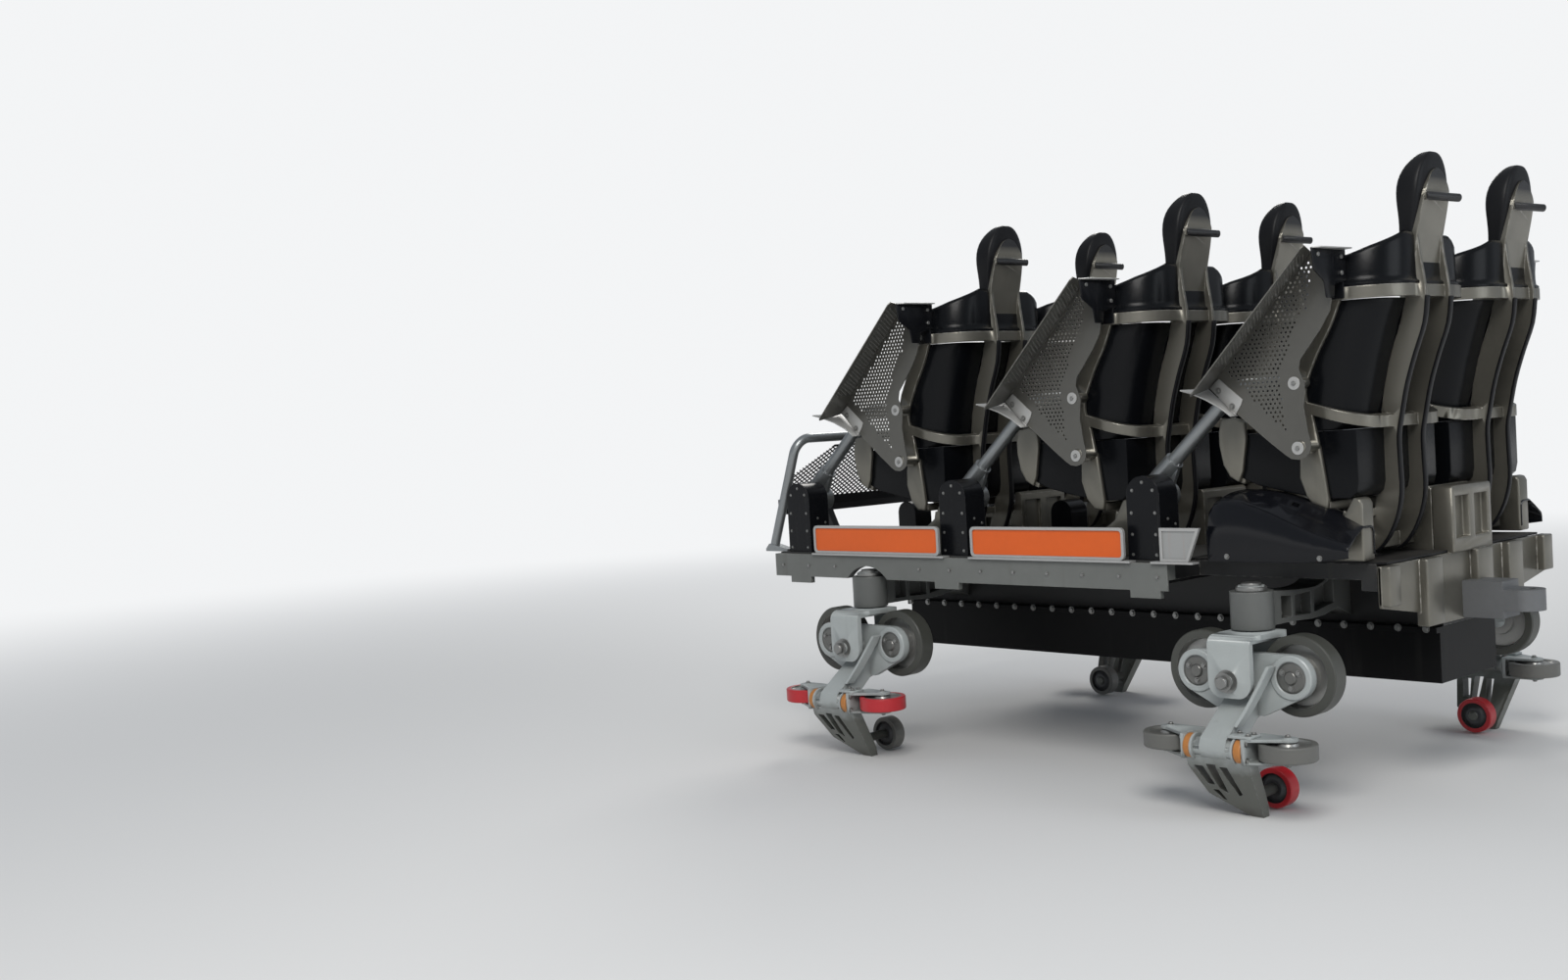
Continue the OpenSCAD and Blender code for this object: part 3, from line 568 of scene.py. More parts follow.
def dressNodes():
    looks = dict(
        chassis_frame=chassisPaint(), floor_pan=floorPlate(), seat_columns=castGreyPaint(),
        sill_panels=signOrange(), bogie=bogiePaint(), guard_mesh=meshBlack(),
        road_wheel=wheelFinish("roadWheel", aluminium, urethane, roadAxle, 0.118),
        side_wheel_f=wheelFinish("sideWheelRed", aluminium, redTread, sideAxle, 0.082),
        side_wheel_r=wheelFinish("sideWheelGrey", aluminium, greyTread, sideAxle, 0.082),
        upstop_wheel_f=wheelFinish("upstopWheelDark", darkSteel, greyTread, upstopAxle, 0.056),
        upstop_wheel_r=wheelFinish("upstopWheelRed", darkSteel, redTread, upstopAxle, 0.056),
    )
    plain = dict(
        kingpin_arms="armPaint", sill_frames="sillMetal", lap_housings="coverBlack", rear_fender="coverBlack",
        magnet_carrier="magnetBlack", couplers="couplerSteel", seat_shell="shellBlack",
        arm_shields="shieldSheet", lap_bar="tubeSteel",
    )
    for start, name in plain.items():
        looks[start] = plainFinish(name)
    looks["seat_frame"] = looks["seat_columns"]
    looks["seat_pan"] = looks["seat_shell"]
    looks["centre_housings"] = looks["lap_housings"]
    looks["front_guard"] = looks["lap_bar"]
    for name, thing in nodes.items():
        best = max((start for start in looks if name.startswith(start)), key=len)
        for slot in thing.material_slots:
            slot.material = looks[best]
    return looks


# modelling helpers, in millimetres like the frame's own drawing

planes = dict(
    side=lambda a, b, depth: (a, depth, b),
    front=lambda a, b, depth: (depth, a, b),
    top=lambda a, b, depth: (a, b, depth),
)
weld = 0.00002


def metres(point):
    return Vector(point) * 0.001


def editAll():
    bpy.ops.object.mode_set(mode="EDIT")
    bpy.ops.mesh.select_all(action="SELECT")


def closeEdit():
    bpy.ops.mesh.select_all(action="SELECT")
    bpy.ops.mesh.normals_make_consistent(inside=False)
    bpy.ops.object.mode_set(mode="OBJECT")


def only(piece):
    deselectAll()
    piece.select_set(True)
    bpy.context.view_layer.objects.active = piece


def discard(*pieces):
    for piece in pieces:
        bpy.data.objects.remove(piece, do_unlink=True)


def plate(outline, plane, start, thick):
    # a filled circle whose points are moved onto the outline, then extruded to its thickness
    deselectAll()
    bpy.ops.mesh.primitive_circle_add(vertices=len(outline), fill_type="NGON", location=(0, 0, 0))
    piece = bpy.context.object
    for point, (a, b) in zip(piece.data.vertices, outline):
        point.co = metres(planes[plane](a, b, start))
    editAll()
    bpy.ops.mesh.extrude_region_move(TRANSFORM_OT_translate=dict(value=metres(planes[plane](0, 0, thick))))
    closeEdit()
    return piece


def bar(start, end, radius, corners=24):
    deselectAll()
    start, end = metres(start), metres(end)
    turn = (end - start).to_track_quat("Z", "Y").to_euler()
    bpy.ops.mesh.primitive_cylinder_add(vertices=corners, radius=radius * 0.001, depth=(end - start).length,
                                        location=(start + end) / 2, rotation=turn)
    bpy.ops.object.transform_apply(location=True, rotation=True, scale=True)
    return bpy.context.object


def turned(profile, steps=48):
    # a closed profile of (radius, height) spun about Z
    deselectAll()
    bpy.ops.mesh.primitive_circle_add(vertices=len(profile), fill_type="NOTHING", location=(0, 0, 0))
    piece = bpy.context.object
    for point, (radius, height) in zip(piece.data.vertices, profile):
        point.co = metres((radius, 0, height))
    editAll()
    bpy.ops.mesh.spin(steps=steps, angle=math.tau, center=(0, 0, 0), axis=(0, 0, 1))
    bpy.ops.mesh.select_all(action="SELECT")
    bpy.ops.mesh.remove_doubles(threshold=weld)
    bpy.ops.mesh.dissolve_degenerate(threshold=0.00001)
    closeEdit()
    return piece


def lofted(rings):
    # a grid rolled into a skin through the rings, closed at both ends
    deselectAll()
    count, levels = len(rings[0]), len(rings)
    bpy.ops.mesh.primitive_grid_add(x_subdivisions=count, y_subdivisions=levels - 1, location=(0, 0, 0))
    piece = bpy.context.object
    points = piece.data.vertices
    for level, ring in enumerate(rings):
        for index in range(count + 1):
            points[level * (count + 1) + index].co = metres(ring[index % count])
    editAll()
    bpy.ops.mesh.remove_doubles(threshold=weld)
    bpy.ops.mesh.fill_holes(sides=0)
    closeEdit()
    return piece


def apply(piece, kind, **settings):
    only(piece)
    modifier = piece.modifiers.new(kind.title(), kind)
    for key, value in settings.items():
        setattr(modifier, key, value)
    bpy.ops.object.modifier_apply(modifier=modifier.name)
    return piece


def smooth(piece, angle=0.6):
    only(piece)
    bpy.ops.object.shade_smooth_by_angle(angle=angle)
    return piece


def rounded(piece, width, segments=2, angle=0.6):
    apply(piece, "BEVEL", width=width * 0.001, segments=segments, limit_method="ANGLE", angle_limit=angle)
    return smooth(piece, angle)


def subdivided(piece, levels=1):
    apply(piece, "SUBSURF", levels=levels, render_levels=levels)
    return smooth(piece, 3.0)


def cut(piece, tool):
    apply(piece, "BOOLEAN", object=tool, operation="DIFFERENCE", solver="EXACT")
    discard(tool)
    return piece


def joined(pieces):
    deselectAll()
    for piece in pieces:
        piece.select_set(True)
    bpy.context.view_layer.objects.active = pieces[0]
    if len(pieces) > 1:
        bpy.ops.object.join()
    return bpy.context.view_layer.objects.active


def copied(piece, matrix):
    copy = piece.copy()
    copy.data = piece.data.copy()
    bpy.context.scene.collection.objects.link(copy)
    copy.data.transform(matrix)
    if matrix.determinant() < 0:
        copy.data.flip_normals()
    return copy


def moved(x=0.0, y=0.0, z=0.0, side=1):
    return Matrix.Translation(metres((x, y, z))) @ Matrix.Diagonal((1, side, 1, 1))


def place(piece, name, finish, body="car", slot=None, replaced=()):
    piece.name = name
    piece.data.name = name
    piece.data.materials.clear()
    piece.data.materials.append(finish)
    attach(piece, body)
    if replaced:
        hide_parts(*replaced)
    return piece


def nodeCopy(name):
    # a welded copy of a node of the frame, to be cut and replace it
    source = nodes[name]
    copy = source.copy()
    copy.data = source.data.copy()
    copy.name = name + "Copy"
    bpy.context.scene.collection.objects.link(copy)
    only(copy)
    editAll()
    bpy.ops.mesh.remove_doubles(threshold=weld)
    bpy.ops.mesh.tris_convert_to_quads(face_threshold=0.02, shape_threshold=3.1)
    bpy.ops.object.mode_set(mode="OBJECT")
    return copy


def curveThrough(points, steps=4):
    out = []
    for i in range(len(points) - 1):
        a, b = Vector(points[max(i - 1, 0)]), Vector(points[i])
        c, d = Vector(points[i + 1]), Vector(points[min(i + 2, len(points) - 1)])
        for j in range(steps):
            t = j / steps
            bend, twist = 2 * a - 5 * b + 4 * c - d, 3 * b - a - 3 * c + d
            out.append(0.5 * (2 * b + (c - a) * t + bend * t * t + twist * t ** 3))
    return out + [Vector(points[-1])]


def between(table, z, column):
    # a column of a table of rows that start with z, at height z
    rows = sorted(table)
    for low, high in zip(rows, rows[1:]):
        if z <= high[0]:
            break
    part = min(max((z - low[0]) / (high[0] - low[0]), 0.0), 1.0)
    return low[column] + part * (high[column] - low[column])


rowPitch, seatY, railY, kingpinX = 1000.0, 365.0, 825.0, 1000.0
sides = ((1, "l"), (-1, "r"))
bogies = dict(fl=(1, 1), fr=(1, -1), rl=(-1, 1), rr=(-1, -1))


def rowShift(row):
    return -rowPitch * (row - 1)


def eachSeat():
    # every seat's row and side, and the end of its pieces' names
    for row in (1, 2, 3):
        for side, letter in sides:
            yield row, side, "_%d%s" % (row, letter)


def atBogie(name):
    along, side = bogies[name]
    return moved(along * kingpinX, side * railY, 0, side)


def placeAll(pieces, tag, put, body="car", **replaced):
    # a copy of each model; replaced names the node of the frame that a piece stands for
    for label, (model, finish, slot) in pieces.items():
        hidden = (replaced[label],) if label in replaced else ()
        place(copied(model, put), label + tag, finishes[finish], body, slot, hidden)


def discardAll(pieces):
    discard(*[model for model, finish, slot in pieces.values()])


# bolts and nuts

boltHead = 10.0


def makeBolt():
    bolt = dict(height=7.0, washer=13.5, washerHeight=2.0, sunk=0.2, chamfer=1.2)
    washer = bar((0, 0, -bolt["sunk"]), (0, 0, bolt["washerHeight"]), bolt["washer"], 16)
    deselectAll()
    bpy.ops.mesh.primitive_cylinder_add(vertices=6, radius=boltHead * 0.001, depth=bolt["height"] * 0.001,
                                        location=(0, 0, (bolt["washerHeight"] + bolt["height"] / 2) * 0.001))
    bpy.ops.object.transform_apply(location=True, rotation=True, scale=True)
    head = rounded(bpy.context.object, bolt["chamfer"], 1, 0.7)
    return smooth(joined([washer, head]))


def bolted(model, size, places):
    # copies of the bolt, scaled to the head's radius, at each (point, outward direction)
    made = []
    for point, out in places:
        turn = Vector(out).to_track_quat("Z", "Y").to_matrix().to_4x4()
        turn = Matrix.Translation(metres(point)) @ turn
        made.append(copied(model, turn @ Matrix.Scale(size / boltHead, 4)))
    return joined(made)


# arm shields

shield = dict(
    outline=[(1163, 1573), (720, 2036), (690, 2034), (650, 1990), (646, 1858), (653, 1820), (688, 1764),
             (739, 1700), (778, 1653), (786, 1618), (775, 1590), (764, 1565), (773, 1484), (762, 1404),
             (750, 1344), (757, 1315), (774, 1300), (800, 1291), (830, 1295), (852, 1309), (917, 1360),
             (1043, 1467)],
    face=787.0, thick=4.0, foldLow=(1163, 1573), foldHigh=(720, 2036), lean=13.0,
    flange=[(0, 0), (641, 0), (689, 153), (676, 166), (12, 190), (0, 182)],
    zone=[(719, 2032), (710, 1962), (738, 1838), (779, 1772), (858, 1624), (845, 1453), (837, 1387),
          (875, 1414), (939, 1472), (1048, 1596), (1106, 1615)],
    flangeZone=[(120, 14), (632, 14), (668, 146), (640, 150), (130, 168)],
    pitch=18.5, hole=4.9, clear=2, punch=(-5, 9),
    legOutline=[(1156, 1574), (1114, 1604), (1018, 1522), (1025, 1502), (1052, 1464)],
    wing=[(0, 0), (164, 0), (164, 46), (110, 58), (60, 92), (24, 140), (4, 184), (0, 184)],
    wingSlope=((1168, 1571), (1046, 1464)), plateThick=5, chamfer=1.5,
    closing=[(690, 2036), (690, 1925), (772, 1911), (780, 1862), (832, 1862), (844, 1919), (912, 1959),
             (925, 2036)],
    closingX=639, web=[(705.5, 1862), (705.5, 1985), (711, 1985), (711, 1862)], webDeep=76,
    lip=[(600, 712), (644, 700), (644, 925), (612, 900)], lipZ=2034,
    bolts=[(802, 1333), (806, 1569)], closingBolts=[(724, 2010), (724, 1952), (884, 2014)],
    webBolts=[(668, 1950), (700, 1890)], webBoltY=711, legBolts=[(1062, 1498), (1118, 1560)],
    boltSize=9.0, washer=24,
)


def inside(outline, x, y):
    hit = False
    for (x0, y0), (x1, y1) in zip(outline, outline[1:] + outline[:1]):
        if (y0 > y) != (y1 > y) and x < (x1 - x0) * (y - y0) / (y1 - y0) + x0:
            hit = not hit
    return hit


def clearOf(outline, x, y, margin):
    return all(inside(outline, x + margin * math.cos(a), y + margin * math.sin(a))
               for a in (0, 1.57, 3.14, 4.71))


def holeTool(zone, origin):
    # one mesh of round punches, each row shifted by half a pitch, all clear of the zone's edge
    pitch, radius, (low, high) = shield["pitch"], shield["hole"], shield["punch"]
    us, vs = [x - origin[0] for x, y in zone], [y - origin[1] for x, y in zone]
    deselectAll()
    bpy.ops.mesh.primitive_cylinder_add(vertices=8, radius=radius * 0.001, depth=(high - low) * 0.001,
                                        location=(0, 0, (high + low) * 0.0005))
    bpy.ops.object.transform_apply(location=True, rotation=True, scale=True)
    punch = bpy.context.object
    punches = []
    line, v = 0, min(vs)
    while v <= max(vs):
        u = min(us) + (pitch / 2 if line % 2 else 0)
        while u <= max(us):
            x, y = origin[0] + u, origin[1] + v
            if clearOf(zone, x, y, radius + shield["clear"]):
                punches.append(copied(punch, moved(x, y, 0)))
            u += pitch
        v += pitch * 0.866
        line += 1
    discard(punch)
    return joined(punches)


def onSlope(low, high, y):
    # from flat on the ground to standing on the line from low to high, both (x, z)
    angle = math.atan2(high[1] - low[1], high[0] - low[0])
    return Matrix.Translation(metres((low[0], y, low[1]))) @ Matrix.Rotation(-angle, 4, "Y")


def makeShields(bolt):
    face, thick, chamfer = shield["face"], shield["thick"], shield["chamfer"]
    outer = face + thick
    # both sheets are punched flat, then stood in place
    panel = plate(shield["outline"], "top", 0, thick)
    cut(panel, holeTool(shield["zone"], shield["foldLow"]))
    panel.data.transform(Matrix(((1, 0, 0, 0), (0, 0, -1, outer * 0.001), (0, 1, 0, 0), (0, 0, 0, 1))))
    flange = plate(shield["flange"], "top", 0, thick)
    cut(flange, holeTool(shield["flangeZone"], (0, 0)))
    flange.data.transform(onSlope(shield["foldLow"], shield["foldHigh"], face)
                          @ Matrix.Rotation(math.radians(shield["lean"]), 4, "X"))
    sheet = smooth(joined([panel, flange]), 0.5)
    leg = plate(shield["legOutline"], "side", outer - 0.5, shield["plateThick"])
    wing = plate(shield["wing"], "top", 0, shield["plateThick"])
    wing.data.transform(onSlope(*shield["wingSlope"], face))
    bracket = rounded(joined([leg, wing]), 1.2)
    closing = [plate(shield["closing"], "front", shield["closingX"], shield["plateThick"]),
               plate(shield["web"], "front", shield["closingX"] + 1, shield["webDeep"])]
    blackPlate = rounded(joined(closing), chamfer)
    lip = rounded(plate(shield["lip"], "top", shield["lipZ"], shield["plateThick"]), chamfer)
    places = [((x, outer, z), (0, 1, 0)) for x, z in shield["bolts"]]
    places += [((shield["closingX"] + 3, y, z), (-1, 0, 0)) for y, z in shield["closingBolts"]]
    places += [((x, shield["webBoltY"], z), (0, 1, 0)) for x, z in shield["webBolts"]]
    places += [((x, face + 9, z), (0, 1, 0)) for x, z in shield["legBolts"]]
    bolts = bolted(bolt, shield["boltSize"], places)
    spacers = joined([bar((x, outer, z), (x, outer + 3, z), shield["washer"]) for x, z in shield["bolts"]])
    pieces = dict(
        shieldSheet=(sheet, "sheet", "shield_sheet"), shieldBracket=(bracket, "bracket", "shield_sheet"),
        closingPlate=(blackPlate, "black", "cover_black"), closingLip=(lip, "bracket", "shield_sheet"),
        shieldBolts=(bolts, "bolt", "tube_steel"), shieldWashers=(spacers, "bracket", "tube_steel"))
    for row, side, tag in eachSeat():
        replaced = dict(shieldSheet="arm_shields_%d" % row) if side == 1 else {}
        placeAll(pieces, tag, moved(rowShift(row), 0, 0, side), **replaced)
    discardAll(pieces)


# seat shells: headrest, collar, back and the rubber edges of the ribs

seat = dict(
    # z, rear x, front x, half width
    pad=[(1905, 514, 566, 106), (1975, 503, 562, 106), (2040, 497, 558, 104), (2090, 489, 554, 106),
         (2140, 476, 551, 114), (2190, 463, 554, 123), (2235, 453, 556, 126), (2280, 450, 552, 119),
         (2320, 448, 538, 102), (2350, 447, 516, 78), (2372, 449, 496, 50), (2380, 455, 480, 22)],
    padPoints=36, padRound=0.34, backFrom=1392, backTo=1857, backLevels=10,
    # z, rear x of the back
    back=[(1392, 660), (1440, 652), (1525, 632), (1620, 609), (1735, 573), (1857, 532)],
    # z, front x of the back, behind the side member
    backFront=[(1392, 838), (1440, 848), (1521, 858), (1589, 844), (1678, 802), (1766, 749), (1857, 708)],
    halfIn=318.0, halfOut=320.0, corner=150.0, wall=24.0,
    # z, rear x of a rib
    rib=[(925, 700), (950, 668), (996, 634), (1063, 604), (1149, 586), (1264, 587), (1356, 587),
         (1431, 573), (1543, 548), (1653, 512), (1761, 472), (1858, 458)],
    ribY=93.0, ribWide=24.0, ribDeep=9.0, ribLap=2,
    # rear x, front x, inner y, outer y, corner radius, steps
    collarPath=(490, 768, -348, 326, 170, 8), collarCentre=(640, -10), collarFall=(560, 0.16),
    # offset from the path with z, or with the drop below the collar's top
    collarFoot=[(12, 1903), (12, 1913), (2, 1920), (0, 1940)],
    collarLip=[(-1, -18), (-6, -5), (-14, 0), (-21, -5), (-26, -18)], collarRear=[(-27, 1940), (-27, 1903)],
    # y, top z
    collarTop=[(-350, 2030), (-250, 2062), (-150, 2098), (-104, 2140), (0, 2152), (104, 2140), (150, 2098),
               (250, 2062), (330, 2030)],
)


def sign(value):
    return -1.0 if value < 0 else 1.0


def padRing(row):
    z, rear, front, half = row
    power = seat["padRound"]
    ring = []
    for i in range(seat["padPoints"]):
        a = math.tau * i / seat["padPoints"]
        c, d = math.cos(a), math.sin(a)
        ring.append(((rear + front) / 2 + (front - rear) / 2 * sign(c) * abs(c) ** power,
                     half * sign(d) * abs(d) ** (power + 0.15), z))
    return ring


def uPath(rear, front, low, high, corner, steps=5):
    # the plan of a U open to the front, from its inner leg round to its outer one
    path = [(front, low), ((front + rear + corner) / 2, low)]
    for i in range(steps + 1):
        a = math.pi / 2 * i / steps
        path.append((rear + corner - corner * math.sin(a), low + corner - corner * math.cos(a)))
    for i in range(steps + 1):
        a = math.pi / 2 * i / steps
        path.append((rear + corner - corner * math.cos(a), high - corner + corner * math.sin(a)))
    return path + [((front + rear + corner) / 2, high), (front, high)]


def makeBack():
    low, high, levels = seat["backFrom"], seat["backTo"], seat["backLevels"]
    halfIn, halfOut, corner, wall = (seat[name] for name in ("halfIn", "halfOut", "corner", "wall"))
    rings = []
    for i in range(levels + 1):
        z = low + (high - low) * i / levels
        rear = between(seat["back"], z, 1)
        front = between(seat["backFront"], z, 1)
        outer = uPath(rear, front, -halfIn, halfOut, corner)
        inner = uPath(rear + wall, front, -halfIn + wall, halfOut - wall, corner - wall)
        rings.append([(x, y, z) for x, y in outer + inner[::-1]])
    return rounded(lofted(rings), 4, 2, 0.7)


def makeCollar():
    path = uPath(*seat["collarPath"])
    centre, (fallFrom, fall) = Vector(seat["collarCentre"]), seat["collarFall"]
    rings = []
    for index, (x, y) in enumerate(path):
        before, after = Vector(path[max(index - 1, 0)]), Vector(path[min(index + 1, len(path) - 1)])
        run = (after - before).normalized()
        out = Vector((run.y, -run.x))
        if out.dot(Vector((x, y)) - centre) < 0:
            out = -out
        top = between(seat["collarTop"], y, 1)
        if x > fallFrom:
            top -= (x - fallFrom) * fall
        section = seat["collarFoot"] + [(o, top + drop) for o, drop in seat["collarLip"]] + seat["collarRear"]
        rings.append([(x + out.x * o, y + out.y * o, z) for o, z in section])
    return smooth(lofted(rings), 0.9)


def makeRibEdge(y):
    rear = [(point[1], point[0]) for point in curveThrough(seat["rib"], 3)]
    outline = [(x - seat["ribDeep"], z) for x, z in rear] + [(x + seat["ribLap"], z) for x, z in rear[::-1]]
    return rounded(plate(outline, "side", y - seat["ribWide"] / 2, seat["ribWide"]), 3, 2, 1.0)


def makeSeatShells():
    pad = subdivided(lofted([padRing(row) for row in seat["pad"]]))
    back, collar = makeBack(), makeCollar()
    edges = joined([makeRibEdge(seat["ribY"]), makeRibEdge(-seat["ribY"])])
    pieces = dict(seatBack=(back, "shell", "shell_black"), collar=(collar, "shell", "shell_black"),
                  headrest=(pad, "rubber", "shell_black"), ribEdges=(edges, "rubber", "shell_black"))
    for row, side, tag in eachSeat():
        replaced = dict(seatBack="seat_shell_%d" % row) if side == 1 else {}
        placeAll(pieces, tag, moved(rowShift(row), side * seatY, 0, side), **replaced)
    discardAll(pieces)


def across(outline, half, y=0):
    # a side outline as wide as twice half, about y
    return plate(outline, "side", y - half, 2 * half)


# seat castings: the frame's own, cleared under the pan, with ears and keel of their own

casting = dict(
    clear=[(737, 1000), (702, 1063), (682, 1149), (674, 1236), (674, 1408), (850, 1461), (900, 1475),
           (1260, 1500), (1260, 1000)],
    rearEar=[(778, 1340), (845, 1335), (858, 1290), (862, 1220), (838, 1148), (800, 1104), (756, 1100),
             (750, 1140), (760, 1215)],
    frontEar=[(1082, 1437), (1127, 1456), (1185, 1449), (1197, 1400), (1197, 1350), (1183, 1274),
              (1156, 1228), (1117, 1205), (1100, 1250), (1094, 1292), (1080, 1372)],
    keel=[(690, 1056), (900, 1086), (1130, 1178), (1130, 1208), (1000, 1176), (800, 1132), (690, 1126)],
    pedestal=[(615, 914), (615, 1122), (624, 1140), (648, 1145), (664, 1118), (694, 1064), (764, 1016),
              (776, 990), (800, 914)],
    pan=[(640, 1390), (640, 1196), (648, 1160), (672, 1140), (760, 1140), (900, 1160), (1050, 1195),
         (1140, 1235), (1182, 1290), (1190, 1340), (1186, 1384), (1150, 1388), (800, 1388)],
    dish=[(716, 1500), (728, 1360), (780, 1330), (950, 1318), (1080, 1334), (1150, 1372), (1160, 1500)],
    ties=[[(752, 1098), (800, 1100), (800, 1130), (752, 1130)],
          [(1104, 1196), (1150, 1216), (1140, 1238), (1098, 1222)]],
    clearHalf=320, earsFrom=(-322, 300), earThick=22, tieHalf=302, keelHalf=22, panHalf=303, dishHalf=262,
    panRound=22, pedestalY=(613, 84),
)


def makeCastings():
    frameCopy = nodeCopy("seat_frame_1")
    for way in (-1, 1):
        cut(frameCopy, across(casting["clear"], casting["clearHalf"], way * seatY))
    frameCopy = smooth(frameCopy, 0.5)
    ears = []
    for outline in (casting["rearEar"], casting["frontEar"]):
        for low in casting["earsFrom"]:
            ears.append(rounded(plate(outline, "side", low, casting["earThick"]), 7, 3, 0.9))
    for outline in casting["ties"]:
        ears.append(rounded(across(outline, casting["tieHalf"]), 5))
    ears.append(rounded(across(casting["keel"], casting["keelHalf"]), 5))
    ears = joined(ears)
    pan = across(casting["pan"], casting["panHalf"])
    cut(pan, across(casting["dish"], casting["dishHalf"]))
    pan = rounded(pan, casting["panRound"], 4, 0.9)
    pedestal = rounded(plate(casting["pedestal"], "side", *casting["pedestalY"]), 7, 3, 0.9)
    seats = dict(panEars=(ears, "cast", "cast_grey"), seatPan=(pan, "shell", "shell_black"))
    feet = dict(pedestal=(pedestal, "cast", "cast_grey"))
    for row, side, tag in eachSeat():
        if side == 1:
            casted = copied(frameCopy, moved(rowShift(row)))
            hidden = ("seat_frame_%d" % row,)
            place(casted, "seatCasting_%d" % row, finishes["cast"], "car", "cast_grey", hidden)
        replaced = dict(seatPan="seat_pan_%d" % row) if side == 1 else {}
        placeAll(seats, tag, moved(rowShift(row), side * seatY, 0, side), **replaced)
        placeAll(feet, tag, moved(rowShift(row), 0, 0, side))
    discard(frameCopy, ears, pan, pedestal)


def box(a0, a1, b0, b1):
    return [(a0, b0), (a1, b0), (a1, b1), (a0, b1)]


# ribs on the rear face, between the deck and the carrier

def makeRearRibs():
    ribs = dict(face=-1444.0, deep=34.0, lap=14, posts=[(613, 697, 752, 897), (285, 410, 646, 897),
                                                        (-139, -6, 640, 897)],
                column=[(-165, 896), (165, 896), (165, 1140), (155, 1150), (-155, 1150), (-165, 1140)],
                columnX=(-1466, 80), recess=(950, 1110), recessX=(-1480, 44), recessHalf=58,
                recessY=(-80, 80),
                bulkhead=[(-697, 897), (-697, 746), (-420, 700), (-235, 636), (235, 636), (420, 700),
                          (697, 746), (697, 897)], bulkheadX=(-1446, 14))
    made = []
    for post in ribs["posts"]:
        thick = ribs["deep"] + ribs["lap"]
        made.append(rounded(plate(box(*post), "front", ribs["face"] - ribs["deep"], thick), 6, 3, 0.9))
    for piece in list(made[:2]):
        made.append(copied(piece, moved(0, 0, 0, -1)))
    made.append(rounded(plate(ribs["bulkhead"], "front", *ribs["bulkheadX"]), 3))
    column = plate(ribs["column"], "front", *ribs["columnX"])
    for middle in ribs["recessY"]:
        window = box(middle - ribs["recessHalf"], middle + ribs["recessHalf"], *ribs["recess"])
        cut(column, plate(window, "front", *ribs["recessX"]))
    made.append(rounded(column, 5, 2, 0.9))
    place(joined(made), "rearRibs", finishes["cast"], "car", "cast_grey")


# rear fenders

fender = dict(
    # x, ridge z, outer edge z, skirt bottom z
    sections=[(-819, 1060, 1048, 915), (-830, 1135, 1108, 915), (-853, 1168, 1138, 915),
              (-893, 1178, 1150, 915), (-954, 1178, 1145, 915), (-1030, 1170, 1119, 915),
              (-1094, 1155, 1092, 915), (-1177, 1130, 1054, 915), (-1258, 1102, 1021, 920),
              (-1330, 1070, 998, 928), (-1389, 1040, 980, 936)],
    inner=620.0, outer=820.0, wall=6.0, boltX=(-900, -1280), boltZ=935, boltSize=8.0, capThick=5,
    cap=[(620, 915), (620, 1040), (644, 1060), (700, 1060), (802, 1050), (820, 1030), (820, 915)],
)


def fenderRing(row, wall):
    x, ridge, crease, low = row
    i, o, r, c = fender["inner"] + wall, fender["outer"] - wall, ridge - wall, crease - wall
    section = [(i, low), (i, (low + r) / 2), (i, r - 20), (i + 6, r - 5), (i + 24, r), (i + 80, r),
               (i + 130, (r + c) / 2 + 4), (o - 18, c + 4), (o - 5, c - 4), (o, c - 20),
               (o, (low + c) / 2), (o, low)]
    return [(x, y, z) for y, z in section]


def makeFenders(bolt):
    rings = []
    for row in fender["sections"]:
        rings.append(fenderRing(row, 0.0) + fenderRing(row, fender["wall"])[::-1])
    skin = rounded(lofted(rings), 2, 2, 1.0)
    skin = smooth(skin, 0.9)
    cap = plate(fender["cap"], "front", fender["sections"][0][0] - 1, fender["capThick"])
    skin = joined([skin, rounded(cap, 1.5)])
    places = [((x, fender["outer"], fender["boltZ"]), (0, 1, 0)) for x in fender["boltX"]]
    pieces = dict(fender=(skin, "gloss", "cover_black"),
                  fenderBolts=(bolted(bolt, fender["boltSize"], places), "bolt", "tube_steel"))
    for side, letter in sides:
        replaced = dict(fender="rear_fender") if side == 1 else {}
        placeAll(pieces, "_" + letter, moved(0, 0, 0, side), **replaced)
    discardAll(pieces)


# bogies: windows cut in the carriers, hub covers, collars, bushings and nuts

